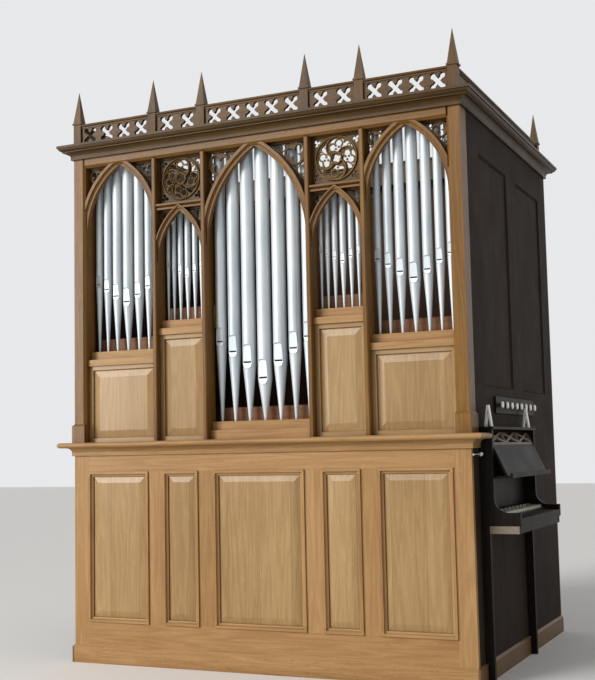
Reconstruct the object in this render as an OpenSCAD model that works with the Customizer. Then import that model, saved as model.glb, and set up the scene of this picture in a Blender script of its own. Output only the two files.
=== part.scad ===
// Pipe organ in a five-bay Gothic wooden case, played from its right side.
// Millimetres, +Z up. The case's front is the plane y = 0 and looks towards -Y, the keydesk
// is on the +X side, and the origin is on the floor under the middle of the front.

/* [Case] */
// Outer width of the case
case_w = 2400; // [2300:10:2600]
// Outer depth of the case
case_d = 1912; // [1800:4:2200]
// Thickness of side and back boards
board = 24; // [18:1:30]
// Height of the plinth
plinth_h = 100; // [80:1:140]
// How far the plinth stands out past the case
plinth_out = 12; // [6:1:20]
// Height of the underside of the impost nosing
impost_z = 1228; // [1200:1:1260]
// Thickness of the impost nosing
impost_t = 30; // [22:1:40]
// How far the impost stands out past the case
impost_out = 75; // [60:1:90]
// Height of the band under the impost nosing
band_h = 46; // [42:1:60]
// How far that band stands out
band_out = 12; // [8:1:16]
// Radius of the cove between the band and the nosing
band_cove_r = 28; // [20:1:32]
// Underside of the cornice
cornice_z = 2950; // [2900:1:3050]
// Height of the cornice
cornice_h = 80; // [70:1:100]
// How far the cornice stands out past the case
cornice_out = 75; // [70:1:90]
// Height of the cornice's lowest fillet
cornice_foot_h = 12; // [8:1:14]
// How far that fillet stands out
cornice_foot_out = 14; // [10:1:18]
// Radius of the cornice's cove
cornice_cove_r = 30; // [24:1:30]
// Radius of the cornice's ovolo
cornice_ovolo_r = 18; // [12:1:18]
// Height of the cornice's top fillet
cornice_fillet_h = 14; // [10:1:18]
// How far the top fillet stands out past the ovolo
cornice_step = 6; // [3:1:8]

/* [Lower front] */
// Thickness of the framed front
frame_t = 30; // [24:1:40]
// Width of the stiles between panels
stile_w = 98; // [80:1:110]
// Top of the lower panels
lower_panel_top = 1087; // [1060:1:1110]
// Bottom of the lower panels
lower_panel_foot = 232; // [200:1:260]
// Width of the moulding round each lower panel
lower_mould_w = 27; // [20:1:34]
// How far that moulding stands out of the frame
lower_mould_out = 9; // [5:1:12]
// How deep that moulding sits in the frame
lower_mould_seat = 12; // [8:1:16]
// Radius of its cove
lower_mould_cove_r = 14; // [10:1:18]
// Width of the bevel round a raised field
bevel_w = 36; // [28:1:44]
// Thickness of a lower panel at its edge
lower_edge_t = 10; // [8:1:14]
// Thickness of its raised field
lower_field_t = 24; // [18:1:28]

/* [Upper front] */
// Distance of the inner mullions from the middle
inner_mullion_x = 325; // [310:1:340]
// Distance of the outer mullions from the middle
outer_mullion_x = 648; // [630:1:665]
// Width of a mullion
mullion_w = 26; // [20:1:32]
// Depth of the mullions and end posts
post_d = 104; // [90:1:120]
// Width of an end post
post_w = 75; // [60:1:90]
// Chamfer on the inner edge of an end post
post_chamfer = 14; // [8:1:20]
// Chamfer on a mullion's edges
mullion_chamfer = 5; // [3:1:8]
// Height of the blocks at the feet of the end posts
block_h = 110; // [90:1:130]
// How far those blocks stand out
block_out = 12; // [6:1:16]
// Height of the frieze rail over the arches
frieze_h = 53; // [44:1:60]
// Chamfer under the frieze rail
frieze_chamfer = 14; // [8:1:18]
// Rise of the middle arch from its spring line
mid_rise = 540; // [525:1:555]
// Rise of the end arches
end_rise = 387; // [375:1:405]
// Wood between the crowns of the tall arches and the frieze rail
tall_crown_gap = 2; // [2:1:16]
// Rise of the small arches
small_rise = 284; // [270:1:296]
// Wood between the crowns of the small arches and the transoms
small_crown_gap = 13; // [10:1:24]
// Height of the transoms over the small arches
transom_h = 34; // [28:1:36]
// Setback of the arches' outer face from the front
arch_face = 6; // [4:1:8]
// Width of the moulded band of a tall arch
tall_band_w = 40; // [34:1:44]
// Width of the moulded band of a small arch
small_band_w = 30; // [28:1:34]
// Wood left beside an arch at its spring line
arch_foot = 4; // [3:1:6]
// Width of the inner fillet of an arch
arch_fillet_w = 10; // [6:1:12]
// Setback of that fillet from the outer face
arch_step = 14; // [10:1:16]
// Radius of the cove between the two faces
arch_cove_r = 12; // [8:1:12]
// Setback of the pierced boards from the front
tracery_setback = 50; // [44:1:54]
// Thickness of the pierced boards
tracery_t = 14; // [10:1:18]
// Thickness of the raised lines on the pierced boards
line_t = 7; // [4:1:8]
// Width of the raised border of a pierced board
border_w = 10; // [8:1:12]
// Wood left between two piercings
bar_w = 9; // [7:1:11]
// Outer radius of a tracery wheel
wheel_r = 125; // [118:1:126]
// Wood left under a wheel
wheel_margin = 18; // [14:1:19]
// Wood left over a wheel
wheel_head = 5; // [4:1:12]
// Width of a wheel's rim
rim_w = 15; // [12:1:17]
// Radius of the eye of a wheel
eye_r = 25; // [22:1:28]
// Width of the ring round the eye
eye_ring_w = 12; // [9:1:14]
// Width of a curved rib
rib_w = 13; // [10:1:15]
// Width of the raised line on a rib
rib_line_w = 5; // [4:1:6]
// Size of a cusp
cusp_h = 18; // [14:1:20]

/* [Pipe seats] */
// Top of the toe boards in the end bays
toe_end_z = 1793; // [1760:1:1820]
// Top of the toe boards in the narrow bays
toe_narrow_z = 1950; // [1920:1:1980]
// Top of the toe board in the middle bay
toe_mid_z = 1358; // [1350:1:1380]
// Thickness of a toe board
toe_t = 48; // [36:1:54]
// How far a toe board reaches back past the mullions
toe_back = 68; // [66:1:90]
// How far the toe boards are set back from the front
toe_setback = 68; // [60:1:72]
// How far the upper panels are set back from the front
panel_setback = 45; // [40:1:50]
// Thickness of an upper panel frame
panel_frame_t = 22; // [18:1:26]
// Margin between an upper panel and its bay
panel_margin = 25; // [18:1:32]
// Height of the ledge under a toe board
ledge_h = 37; // [30:1:44]
// How far the ledge stands out past the upper panels
ledge_out = 14; // [10:1:18]
// Width of the bevel round the field of an upper panel
upper_bevel_w = 44; // [36:1:50]
// Height of the rack boards behind the pipes' feet
rack_h = 80; // [60:1:90]
// Thickness of the rack boards
rack_t = 16; // [12:1:18]

/* [Pipes] */
// Setback of the pipes' axes from the front
pipe_axis = 112; // [110:1:112]
// Thickness of pipe metal
pipe_wall = 1.6; // [1.2:0.1:2.4]
// Radius of the tip of the largest pipe's foot
tip_r = 8; // [6:0.5:10]
// Height of the upper lip, in diameters
lip_rise = 1.35; // [1.1:0.05:1.5]
// Height of the lower lip, in diameters
lip_drop = 0.4; // [0.36:0.01:0.46]
// Width of both lips, in diameters
lip_w = 0.7; // [0.68:0.01:0.72]
// Radius of the arcs that end the lips, in diameters
lip_arc = 0.42; // [0.4:0.01:0.46]
// Depth of the lips at the mouth, in diameters
lip_depth = 0.16; // [0.15:0.01:0.18]
// Depth of the lips at their ends, in diameters
lip_end = 0.09; // [0.07:0.01:0.11]
// Width of the mouth, in diameters
mouth_w = 0.62; // [0.58:0.01:0.65]
// Height of the mouth, in diameters
cut_up = 0.13; // [0.11:0.01:0.16]
// How far the pipes end under the cornice
pipe_top_gap = 40; // [30:1:60]
// Pipe diameters in the middle bay, from its centre outwards
mid_pipe_d = [80, 77, 71, 62];
// Pipe diameters in the narrow bays
narrow_pipe_d = [35, 31, 26, 22];
// Pipe diameters in the end bays
end_pipe_d = [64, 56, 48, 42];
// Mouth heights in the middle bay, from its centre outwards
mid_mouth_z = [1589, 1680, 1745, 1806];
// Mouth heights in the narrow bays
narrow_mouth_z = [2208, 2232, 2252, 2273];
// Mouth heights in the end bays
end_mouth_z = [2080, 2119, 2164, 2198];

/* [Sides] */
// Wood under the tall side panels, down to the impost
side_foot_rail = 250; // [220:1:280]
// Wood over the tall side panels, up to the cornice
side_head_rail = 187; // [150:1:220]
// Width of a tall side panel
side_panel_w = 583; // [540:1:620]
// Distance from the front to the first side panel
side_panel_1 = 320; // [280:1:340]
// Distance from the front to the second side panel
side_panel_2 = 1125; // [1080:1:1160]
// Thickness of a flat side panel
side_panel_t = 10; // [6:1:12]
// How far a flat side panel lies back
side_recess = 9; // [5:1:12]

/* [Parapet] */
// Height of the parapet with its cap rail
parapet_h = 134; // [120:1:150]
// Thickness of the pierced boards
pierced_t = 20; // [14:1:24]
// Height of the cap rail
cap_h = 24; // [18:1:30]
// Depth of the cap rail
cap_d = 44; // [36:1:50]
// Radius of the nose of the cap rail
cap_nose_r = 8; // [6:1:9]
// How far the cap's fillet lies behind its nose
cap_step = 8; // [5:1:10]
// Height of the sill under the piercings
sill_h = 12; // [8:1:14]
// Sideways reach of a piercing's four lobes
foil_x = 26; // [22:1:28]
// Upward reach of those lobes
foil_z = 29; // [27:1:30]
// Radius of a lobe
foil_r = 16; // [13:1:17]
// Width of the openings that join the lobes
foil_neck = 23; // [20:1:25]
// Thickness of the plain parapets at the sides and the rear
plain_parapet_t = 18; // [14:1:22]
// Thickness of the ledge that carries the rear parapet
rear_ledge_t = 24; // [18:1:30]
// Width of a pinnacle post
pinnacle_w = 50; // [40:1:60]
// Height of a pinnacle's spire
spire_h = 206; // [150:1:220]
// Width of a spire over its eaves
spire_w = 62; // [56:1:70]
// Thickness of the eaves under a spire
eaves_t = 9; // [6:1:12]
// Distance of the end pinnacles from the middle
pinnacle_end_x = 1170; // [1160:1:1172]
// Distance from the front to the rear pinnacles
pinnacle_rear = 1815; // [1700:1:1850]

/* [Keydesk] */
// Distance from the front to the middle of the keydesk
desk_mid = 598; // [580:1:620]
// Width of the keydesk over its cheeks
desk_w = 935; // [910:1:960]
// Thickness of a cheek
cheek_t = 30; // [24:1:36]
// How far the key table stands out
table_out = 205; // [190:1:220]
// Underside of the key table
table_z = 785; // [770:1:800]
// Thickness of the key table
table_t = 38; // [32:1:44]
// Height of the rail under the key table
under_rail_h = 38; // [30:1:46]
// How far the cheeks stand out above the table
cheek_out = 72; // [64:1:80]
// Radius of the curve from a cheek down to its arm
cheek_cove_r = 70; // [60:1:80]
// How far the legs stand out below the table
leg_out = 45; // [40:1:60]
// How far the rail under the table lies back from its edge
under_rail_back = 8; // [4:1:12]
// Top of the keydesk
desk_top_z = 1276; // [1260:1:1290]
// Thickness of the shelf on top of the keydesk
shelf_t = 14; // [10:1:18]
// Height of the ledge at the music desk's foot
desk_foot_z = 1038; // [1020:1:1050]
// How far that ledge stands out
desk_ledge_out = 166; // [150:1:176]
// Thickness of the ledge
desk_ledge_t = 12; // [10:1:16]
// Height of the lip on the ledge
desk_lip_h = 12; // [8:1:16]
// Thickness of the lip
desk_lip_t = 12; // [8:1:14]
// Lean of the music desk from upright, in degrees
desk_lean = 25.5; // [22:0.5:26]
// Thickness of the music desk
desk_t = 12; // [10:1:14]
// Height of the music desk along its slope
desk_slope = 254; // [230:1:256]
// Number of crosses in the fret along its top
fret_count = 3; // [2:1:5]
// Height of the fret
fret_h = 78; // [60:1:84]
// Width of the bars of a cross
fret_bar = 14; // [10:1:18]
// Width of the rails round the fret
fret_rail = 8; // [6:1:12]
// How far the key fronts stand out of the case
key_out = 110; // [100:1:120]
// Length of a natural key
key_len = 100; // [90:1:104]
// Pitch of the natural keys
key_pitch = 23.6; // [23:0.1:24]
// Gap between natural keys
key_gap = 1; // [0.8:0.1:1.4]
// Length of a sharp key
sharp_len = 50; // [44:1:54]
// Width of a sharp key
sharp_w = 10; // [9:0.5:11]
// Height of a sharp key over the naturals
sharp_h = 11; // [9:0.5:12]
// Number of natural keys
naturals = 33; // [32:1:33]
// Top of the natural keys
key_z = 851; // [848:1:856]
// Diameter of a stop knob's head
knob_d = 38; // [32:1:42]
// Length of a stop knob outside its board
knob_len = 25; // [22:1:30]
// Thickness of its head
knob_head_t = 8; // [6:1:10]
// Pitch of the stop knobs
knob_pitch = 106.5; // [100:0.5:110]
// Distance from the front to the middle of the row of stops
stops_mid = 893; // [870:1:910]
// Height of the row of stops
stops_z = 1412; // [1400:1:1425]
// How far a stop draws out
stop_travel = 28; // [20:1:32]
// Height of the board that the stops draw through
jamb_h = 90; // [80:1:100]
// Length of that board past the end stops
jamb_end = 60; // [50:1:70]

/* [Lamps] */
// Height of a folded shade
shade_h = 112; // [100:1:124]
// Spread of a folded shade at its foot
shade_spread = 40; // [34:1:44]
// Width of its fold
shade_fold = 10; // [8:1:12]
// Thickness of its two leaves
shade_t = 9; // [7:1:10]
// Length of a folded shade
shade_len = 30; // [26:1:34]
// Height of the jointed arm at the front corner
arm_z = 1150; // [1130:1:1165]
// Distance of the arm from the front
arm_y = 60; // [55:1:70]
// Length of the arm
arm_len = 130; // [110:1:140]
// Radius of the arm's rod
rod_r = 5; // [4:0.5:6]
// Radius of the ball joint
ball_r = 13; // [11:0.5:15]
// Radius of the wall plate
rose_r = 16; // [14:0.5:20]
// Thickness of the wall plate
rose_t = 8; // [6:0.5:9]
// How far the ball stands out of the case
ball_out = 30; // [28:0.5:34]

/* [Hidden] */
$fn = 48;

front = 0;
rear = front + case_d;
half_w = case_w / 2;
wood = [0.66, 0.50, 0.30];
field_wood = [0.72, 0.56, 0.36];
dark_wood = [0.42, 0.32, 0.20];
pipe_metal = [0.82, 0.84, 0.86];

// Spans of the five bays between posts and mullions
bay_spans = [
    [-half_w + post_w, -outer_mullion_x - mullion_w / 2],
    [-outer_mullion_x + mullion_w / 2, -inner_mullion_x - mullion_w / 2],
    [-inner_mullion_x + mullion_w / 2, inner_mullion_x - mullion_w / 2],
    [inner_mullion_x + mullion_w / 2, outer_mullion_x - mullion_w / 2],
    [outer_mullion_x + mullion_w / 2, half_w - post_w]];
bay_toe_z = [toe_end_z, toe_narrow_z, toe_mid_z, toe_narrow_z, toe_end_z];
mullion_xs = [-outer_mullion_x, -inner_mullion_x, inner_mullion_x, outer_mullion_x];
impost_top = impost_z + impost_t;
cornice_top = cornice_z + cornice_h;
frieze_z = cornice_z - frieze_h;
wheel_z = frieze_z - wheel_head - wheel_r;
transom_top = wheel_z - wheel_r - wheel_margin;
transom_z = transom_top - transom_h;
tall_crown_z = frieze_z - tall_crown_gap;
small_spring_z = transom_z - small_crown_gap - small_rise;
tracery_back = tracery_setback + tracery_t;
side_panel_foot = impost_top + side_foot_rail;
side_panel_top = cornice_z - side_head_rail;

// Spans of the five lower panels
lower_spans = [
    [-half_w + stile_w, -outer_mullion_x - stile_w / 2],
    [-outer_mullion_x + stile_w / 2, -inner_mullion_x - stile_w / 2],
    [-inner_mullion_x + stile_w / 2, inner_mullion_x - stile_w / 2],
    [inner_mullion_x + stile_w / 2, outer_mullion_x - stile_w / 2],
    [outer_mullion_x + stile_w / 2, half_w - stile_w]];

function middle(span) = (span[0] + span[1]) / 2;
function width(span) = span[1] - span[0];

// A box from one corner to the opposite one
module block(from, to) {
    translate(from) cube(to - from);
}

// A drawing in x and z, made solid from y = 0 backwards by a thickness
module upright(t) {
    translate([0, t, 0]) rotate([90, 0, 0]) linear_extrude(t) children();
}

// A drawing in outward distance and height, run along the front with mitred ends
module front_run(half, out) {
    intersection() {
        translate([-half - out, 0, 0]) rotate([90, 0, 90]) linear_extrude(2 * (half + out))
            mirror([1, 0]) children();
        translate([0, 0, -10]) linear_extrude(cornice_top + 10)
            polygon([[-half - out, -out], [half + out, -out], [half - out, out], [out - half, out]]);
    }
}

// The same drawing as a closed ring round a rectangle of half sizes hx and hy
module ring_run(hx, hy, out) {
    for (side = [0, 1]) rotate([0, 0, 180 * side]) {
        translate([0, -hy, 0]) front_run(hx, out) children();
        rotate([0, 0, 90]) translate([0, -hx, 0]) front_run(hy, out) children();
    }
}

// Four mitred bars of one section round an opening; the section has x inwards and y outwards
module picture_frame(w, h, section_w) {
    sides = [[w, h, 0], [h, w, 90], [w, h, 180], [h, w, 270]];
    for (s = sides) rotate([0, -s[2], 0]) translate([0, 0, -s[1] / 2]) intersection() {
        translate([-s[0] / 2, 0, 0]) rotate([90, 0, 90]) linear_extrude(s[0])
            rotate(90) children();
        translate([0, board, 0]) rotate([90, 0, 0]) linear_extrude(2 * board)
            polygon([[-s[0] / 2, 0], [s[0] / 2, 0],
                [s[0] / 2 - section_w, section_w], [section_w - s[0] / 2, section_w]]);
    }
}

// A raised and fielded panel: edge thickness, field thickness, bevel width
module fielded_panel(w, h, edge, field, bevel) {
    intersection() {
        translate([-w / 2, 0, 0]) rotate([90, 0, 90]) linear_extrude(w)
            bevelled_outline(h, edge, field, bevel);
        translate([0, 0, -h / 2]) linear_extrude(h) rotate(90)
            bevelled_outline(w, edge, field, bevel);
    }
}

// Section of a fielded panel: depth across with the front at negative depth, size up
module bevelled_outline(size, edge, field, bevel) {
    polygon([[0, -size / 2], [0, size / 2], [-edge, size / 2], [-field, size / 2 - bevel],
        [-field, bevel - size / 2], [-edge, -size / 2]]);
}

// Radius of the two arcs of a pointed arch, and its outline standing on y = 0, widened by an order
function arch_r(half, rise) = (half * half + rise * rise) / (2 * half);

module pointed(half, rise, order) {
    r = arch_r(half, rise);
    intersection() {
        translate([half - r, 0]) circle(r + order, $fn = 240);
        translate([r - half, 0]) circle(r + order, $fn = 240);
        translate([-half - order, 0]) square([2 * (half + order), rise + 2 * order]);
    }
}

// Plinth, weathered at its top edge
module plinth_section() {
    polygon([[0, 0], [plinth_out, 0], [plinth_out, plinth_h - plinth_out], [0, plinth_h]]);
}

module plinth() {
    color(wood) {
        difference() {
            block([-half_w, front, 0], [half_w, rear, plinth_h]);
            block([-half_w + frame_t, front + frame_t, -1],
                [half_w - frame_t, rear - frame_t, plinth_h + 1]);
        }
        translate([0, front, 0]) front_run(half_w, plinth_out) plinth_section();
        for (side = [0, 1]) mirror([side, 0, 0])
            translate([half_w, front, 0]) return_run(case_d, plinth_out) plinth_section();
    }
}

// Lower front
module lower_front_frame() {
    color(wood) translate([0, front, 0]) upright(frame_t) difference() {
        translate([-half_w, plinth_h]) square([case_w, impost_z - plinth_h]);
        for (span = lower_spans)
            translate([span[0], lower_panel_foot])
                square([width(span), lower_panel_top - lower_panel_foot]);
    }
}

lower_panel_mid = (lower_panel_top + lower_panel_foot) / 2;
lower_panel_h = lower_panel_top - lower_panel_foot;

module lower_front_panels() {
    color(field_wood) for (span = lower_spans)
        translate([middle(span), front + frame_t, lower_panel_mid])
            fielded_panel(width(span), lower_panel_h, lower_edge_t, lower_field_t, lower_mould_w + bevel_w);
}

// Section of the moulding round a lower panel: across the frame, then outwards
module lower_mould_section() {
    difference() {
        square([lower_mould_w, lower_mould_seat + lower_mould_out]);
        translate([lower_mould_w, lower_mould_seat + lower_mould_out]) circle(lower_mould_cove_r);
    }
}

module lower_panel_mouldings() {
    color(wood) for (span = lower_spans)
        translate([middle(span), front + lower_mould_seat, lower_panel_mid])
            picture_frame(width(span), lower_panel_h, lower_mould_w) lower_mould_section();
}

// Walls of the lower case
module side_wall(side) {
    x = side > 0 ? half_w - board : -half_w;
    block([x, front + frame_t, plinth_h], [x + board, rear - board, impost_z]);
}

module lower_left_side() {
    color(wood) side_wall(-1);
}

module lower_right_side() {
    color(wood) side_wall(1);
}

module back_wall() {
    color(dark_wood) block([-half_w, rear - board, plinth_h], [half_w, rear, cornice_z]);
}

// Impost: a nosing board with a cove and a band under it
module impost_section() {
    cove_z = impost_z - band_cove_r;
    difference() {
        union() {
            translate([0, impost_z]) square([impost_out - impost_t / 2, impost_t]);
            translate([impost_out - impost_t / 2, impost_z + impost_t / 2]) circle(impost_t / 2);
            translate([0, impost_z - band_h]) square([band_out, band_h]);
            translate([0, cove_z]) square([band_out + band_cove_r, band_cove_r]);
        }
        translate([band_out + band_cove_r, cove_z]) circle(band_cove_r);
    }
}

// The same section returned along a side, from the front corner backwards
module return_run(length, out) {
    intersection() {
        translate([0, length, 0]) rotate([90, 0, 0]) linear_extrude(length + out) children();
        linear_extrude(cornice_top) polygon([[0, 0], [out, -out], [out, length], [0, length]]);
    }
}

module impost() {
    color(wood) {
        translate([0, front, 0]) front_run(half_w, impost_out) impost_section();
        translate([half_w, front, 0]) return_run(desk_y0 - front, impost_out) impost_section();
        mirror([1, 0, 0]) translate([half_w, front, 0]) return_run(case_d, impost_out) impost_section();
        block([-half_w, front, impost_z], [half_w, front + post_d, impost_top]);
    }
}

// Upper front
module end_post_plan() {
    polygon([[0, 0], [post_w - post_chamfer, 0], [post_w, post_chamfer], [post_w, post_d], [0, post_d]]);
}

// The block at a post's foot, weathered on its front and its outer side
module post_block() {
    intersection() {
        translate([0, post_d, 0]) rotate([90, 0, 0]) linear_extrude(post_d + block_out)
            polygon([[-block_out, 0], [post_w, 0], [post_w, block_h], [0, block_h],
                [-block_out, block_h - block_out]]);
        translate([-block_out, 0, 0]) rotate([90, 0, 90]) linear_extrude(post_w + block_out)
            polygon([[-block_out, 0], [post_d, 0], [post_d, block_h], [0, block_h],
                [-block_out, block_h - block_out]]);
    }
}

module end_post() {
    linear_extrude(cornice_z - impost_top) end_post_plan();
    post_block();
}

module end_posts() {
    color(wood) {
        translate([-half_w, front, impost_top]) end_post();
        mirror([1, 0, 0]) translate([-half_w, front, impost_top]) end_post();
    }
}

module mullion_plan() {
    w = mullion_w / 2;
    c = mullion_chamfer;
    polygon([[-w, post_d], [-w, c], [c - w, 0], [w - c, 0], [w, c], [w, post_d]]);
}

module mullions() {
    color(wood) for (x = mullion_xs)
        translate([x, front, impost_top]) linear_extrude(frieze_z - impost_top) mullion_plan();
}

// Section of an arch: outwards from its inner edge, then back from the case's front
module arch_section(band) {
    inner_face = arch_face + arch_step;
    cove_y = inner_face + 1 - arch_cove_r;
    difference() {
        translate([0, arch_face]) square([band, tracery_setback - arch_face]);
        square([arch_fillet_w, inner_face]);
        square([arch_fillet_w + arch_cove_r, cove_y]);
        translate([arch_fillet_w, cove_y]) circle(arch_cove_r);
    }
}

// A moulded pointed arch over a bay, standing on its spring line and mitred at the crown
module moulded_arch(bay, rise, band) {
    half = bay / 2 - arch_foot;
    r = arch_r(half, rise);
    for (side = [0, 1]) mirror([side, 0, 0]) intersection() {
        translate([half - r, 0, 0]) rotate([-90, 0, 0]) rotate_extrude($fn = 160)
            translate([r, 0]) arch_section(band);
        cube([bay / 2, tracery_setback, rise + 2 * band]);
    }
}

function tall_rise(i) = i == 2 ? mid_rise : end_rise;
function tall_spring(i) = tall_crown_z - tall_rise(i);

// The tall arches, joined by the frieze rail that runs over all five bays
module tall_arches() {
    rail_x = half_w - post_w;
    color(wood) {
        for (i = [0, 2, 4])
            translate([middle(bay_spans[i]), front, tall_spring(i)])
                moulded_arch(width(bay_spans[i]), tall_rise(i), tall_band_w);
        translate([-rail_x, front, 0]) rotate([90, 0, 90]) linear_extrude(2 * rail_x)
            polygon([[0, cornice_z], [0, frieze_z + frieze_chamfer], [frieze_chamfer, frieze_z],
                [tracery_back, frieze_z], [tracery_back, cornice_z]]);
    }
}

// Section of a transom: back from the front, then up
module transom_section() {
    polygon([[tracery_back, 0], [tracery_back, transom_h], [arch_face, transom_h],
        [arch_face, transom_h - border_w], [arch_face + arch_step, transom_h - border_w - arch_step / 2],
        [arch_face + arch_step, border_w + arch_step / 2], [2 * arch_face, border_w], [2 * arch_face, 0]]);
}

module small_arches() {
    color(wood) for (i = [1, 3]) {
        span = bay_spans[i];
        translate([middle(span), front, small_spring_z])
            moulded_arch(width(span), small_rise, small_band_w);
        translate([span[0], front, transom_z]) rotate([90, 0, 90]) linear_extrude(width(span))
            transom_section();
    }
}

// Pierced boards behind the arches, drawn in x and z about the middle of the bay

// Height over the spring line at which an arch's band leaves the side of its bay
function band_top(bay, rise, band) =
    let (half = bay / 2 - arch_foot, r = arch_r(half, rise), x = bay / 2 + r - half)
    sqrt((r + band) * (r + band) - x * x);

// What lies over an arch in its bay, from a foot up to a head, drawn in from the edges by an inset
module over_arch(bay, rise, foot, head, order, inset) {
    difference() {
        translate([inset - bay / 2, foot]) square([bay - 2 * inset, head - inset - foot]);
        pointed(bay / 2 - arch_foot, rise, order);
    }
}

// Radius of the circle that touches two sides of a corner, a and c away from the centre of a
// round of radius reach, and that round from outside
function wedge_r(a, c, reach) =
    let (sum = a + c + reach) sum - sqrt(sum * sum - a * a - c * c + reach * reach);

// Radius of the circle that fits the corner over an arch, touching side, head and arch
function corner_r(bay, rise, head, band) =
    let (half = bay / 2 - arch_foot, r = arch_r(half, rise))
    wedge_r(bay / 2 - border_w + r - half, head - border_w, r + band);

module trefoil(r) {
    for (a = [45, 165, 285]) rotate(a) translate([r / 2, 0]) circle(r * 0.4);
    circle(r * 0.3);
}

// Two spandrels: a trefoil in each corner and a long cell on each side of it
module spandrels(bay, rise, head, band, foiled) {
    r = corner_r(bay, rise, head, band);
    foot = band_top(bay, rise, band) - border_w;
    difference() {
        over_arch(bay, rise, foot, head, band / 2, 0);
        for (side = [0, 1]) mirror([side, 0]) translate([bay / 2 - border_w - r, head - border_w - r])
            if (foiled) trefoil(r);
        difference() {
            over_arch(bay, rise, foot, head, band + bar_w, border_w);
            for (side = [0, 1]) mirror([side, 0])
                translate([bay / 2 - border_w - r, head - border_w - r])
                    if (foiled) circle(r + bar_w / 2);
        }
    }
}

// Raised border along the sides and the head of the same boards
module spandrel_border(bay, rise, head, band) {
    foot = band_top(bay, rise, band) + border_w;
    difference() {
        over_arch(bay, rise, foot, head, band, 0);
        over_arch(bay, rise, 0, head, 0, border_w);
    }
}

module spandrel_board(bay, rise, head, band, foiled) {
    translate([0, tracery_setback, 0]) upright(tracery_t) spandrels(bay, rise, head, band, foiled);
    translate([0, tracery_setback - line_t, 0]) upright(line_t)
        spandrel_border(bay, rise, head, band);
}

// Cusp standing on a curve: a point between two hollows
module cusp() {
    difference() {
        translate([-cusp_h, -rib_w / 4]) square([2 * cusp_h, cusp_h + rib_w / 4]);
        for (side = [-1, 1]) translate([side * cusp_h * 1.08, cusp_h]) circle(cusp_h);
    }
}

// One rib: half a circle from the eye out to the rim, where it arrives along the rim
rib_reach = wheel_r - rim_w / 2;
rib_r = rib_reach / 2 - 2;

module rib(w) {
    translate([rib_reach - rib_r, 0]) intersection() {
        difference() {
            circle(rib_r + w / 2);
            circle(rib_r - w / 2);
        }
        translate([-2 * rib_r, 0]) square(4 * rib_r);
    }
}

// Cusps of one cell: two under the rib and one from the rim
module cell_cusps() {
    translate([rib_reach - rib_r, 0]) for (a = [62, 122]) rotate(a)
        translate([rib_r - rib_w / 2, 0]) rotate(90) cusp();
    rotate(-28) translate([wheel_r - rim_w, 0]) rotate(90) cusp();
}

// A wheel of four whirling cells about an eye
module whirl(w) {
    difference() {
        union() {
            for (a = [0:90:270]) rotate(a) rib(w);
            circle(eye_r + (eye_ring_w + w) / 2);
        }
        circle(eye_r + (eye_ring_w - w) / 2);
    }
}

module wheel_board(bay, foot, head) {
    a = bay / 2 - border_w;
    difference() {
        translate([-bay / 2, -foot]) square([bay, foot + head]);
        circle(wheel_r - rim_w);
        for (side = [0, 1], end = [[head, 0], [foot, 1]]) {
            c = end[0] - border_w;
            r = wedge_r(a, c, wheel_r);
            mirror([side, 0]) mirror([0, end[1]]) translate([a - r, c - r]) trefoil(r);
        }
    }
    intersection() {
        circle(wheel_r);
        union() {
            whirl(rib_w);
            for (a = [0:90:270]) rotate(a) cell_cusps();
        }
    }
}

module wheel_lines(bay, foot, head) {
    difference() {
        translate([-bay / 2, -foot]) square([bay, foot + head]);
        translate([border_w - bay / 2, -foot]) square([bay - 2 * border_w, foot + head - border_w]);
    }
    intersection() {
        circle(wheel_r - rim_w / 2);
        whirl(rib_line_w);
    }
    difference() {
        circle(wheel_r);
        circle(wheel_r - rim_w / 2);
    }
}

module tracery() {
    foot = wheel_z - transom_top;
    color(wood) {
        for (i = [0, 2, 4]) translate([middle(bay_spans[i]), front, tall_spring(i)])
            spandrel_board(width(bay_spans[i]), tall_rise(i), frieze_z - tall_spring(i), tall_band_w, true);
        for (i = [1, 3]) translate([middle(bay_spans[i]), front, 0]) {
            translate([0, 0, small_spring_z]) spandrel_board(width(bay_spans[i]), small_rise,
                transom_z - small_spring_z, small_band_w, false);
            translate([0, tracery_setback, wheel_z]) mirror([i == 1 ? 1 : 0, 0, 0]) {
                upright(tracery_t) wheel_board(width(bay_spans[i]), foot, frieze_z - wheel_z);
                translate([0, -line_t, 0]) upright(line_t)
                    wheel_lines(width(bay_spans[i]), foot, frieze_z - wheel_z);
            }
        }
    }
}

// Boards that carry the pipes, with the ledges under them
module toe_boards() {
    color(wood) for (i = [0:4]) {
        span = bay_spans[i];
        z = bay_toe_z[i];
        block([span[0], front + toe_setback, z - toe_t], [span[1], front + post_d + toe_back, z]);
        if (i != 2)
            block([span[0], front + panel_setback - ledge_out, z - toe_t - ledge_h],
                [span[1], front + post_d, z - toe_t]);
        else
            block([span[0], front + panel_setback, impost_top], [span[1], front + post_d, z - toe_t]);
    }
}

module upper_front_panels() {
    color(field_wood) for (i = [0, 1, 3, 4]) {
        span = bay_spans[i];
        h = bay_toe_z[i] - toe_t - ledge_h - impost_top;
        w = width(span);
        translate([middle(span), front + panel_setback, impost_top + h / 2]) {
            upright(panel_frame_t) difference() {
                square([w, h], center = true);
                square([w - 2 * panel_margin, h - 2 * panel_margin], center = true);
            }
            translate([0, panel_frame_t, 0]) fielded_panel(w - 2 * panel_margin,
                h - 2 * panel_margin, side_panel_t, panel_frame_t - 2, upper_bevel_w);
        }
    }
}

// Boards behind the pipes' feet
module rack_boards() {
    y = front + post_d + toe_back;
    color(dark_wood) for (i = [0:4])
        block([bay_spans[i][0], y - rack_t, bay_toe_z[i]], [bay_spans[i][1], y, bay_toe_z[i] + rack_h]);
}

// Display pipes

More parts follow.
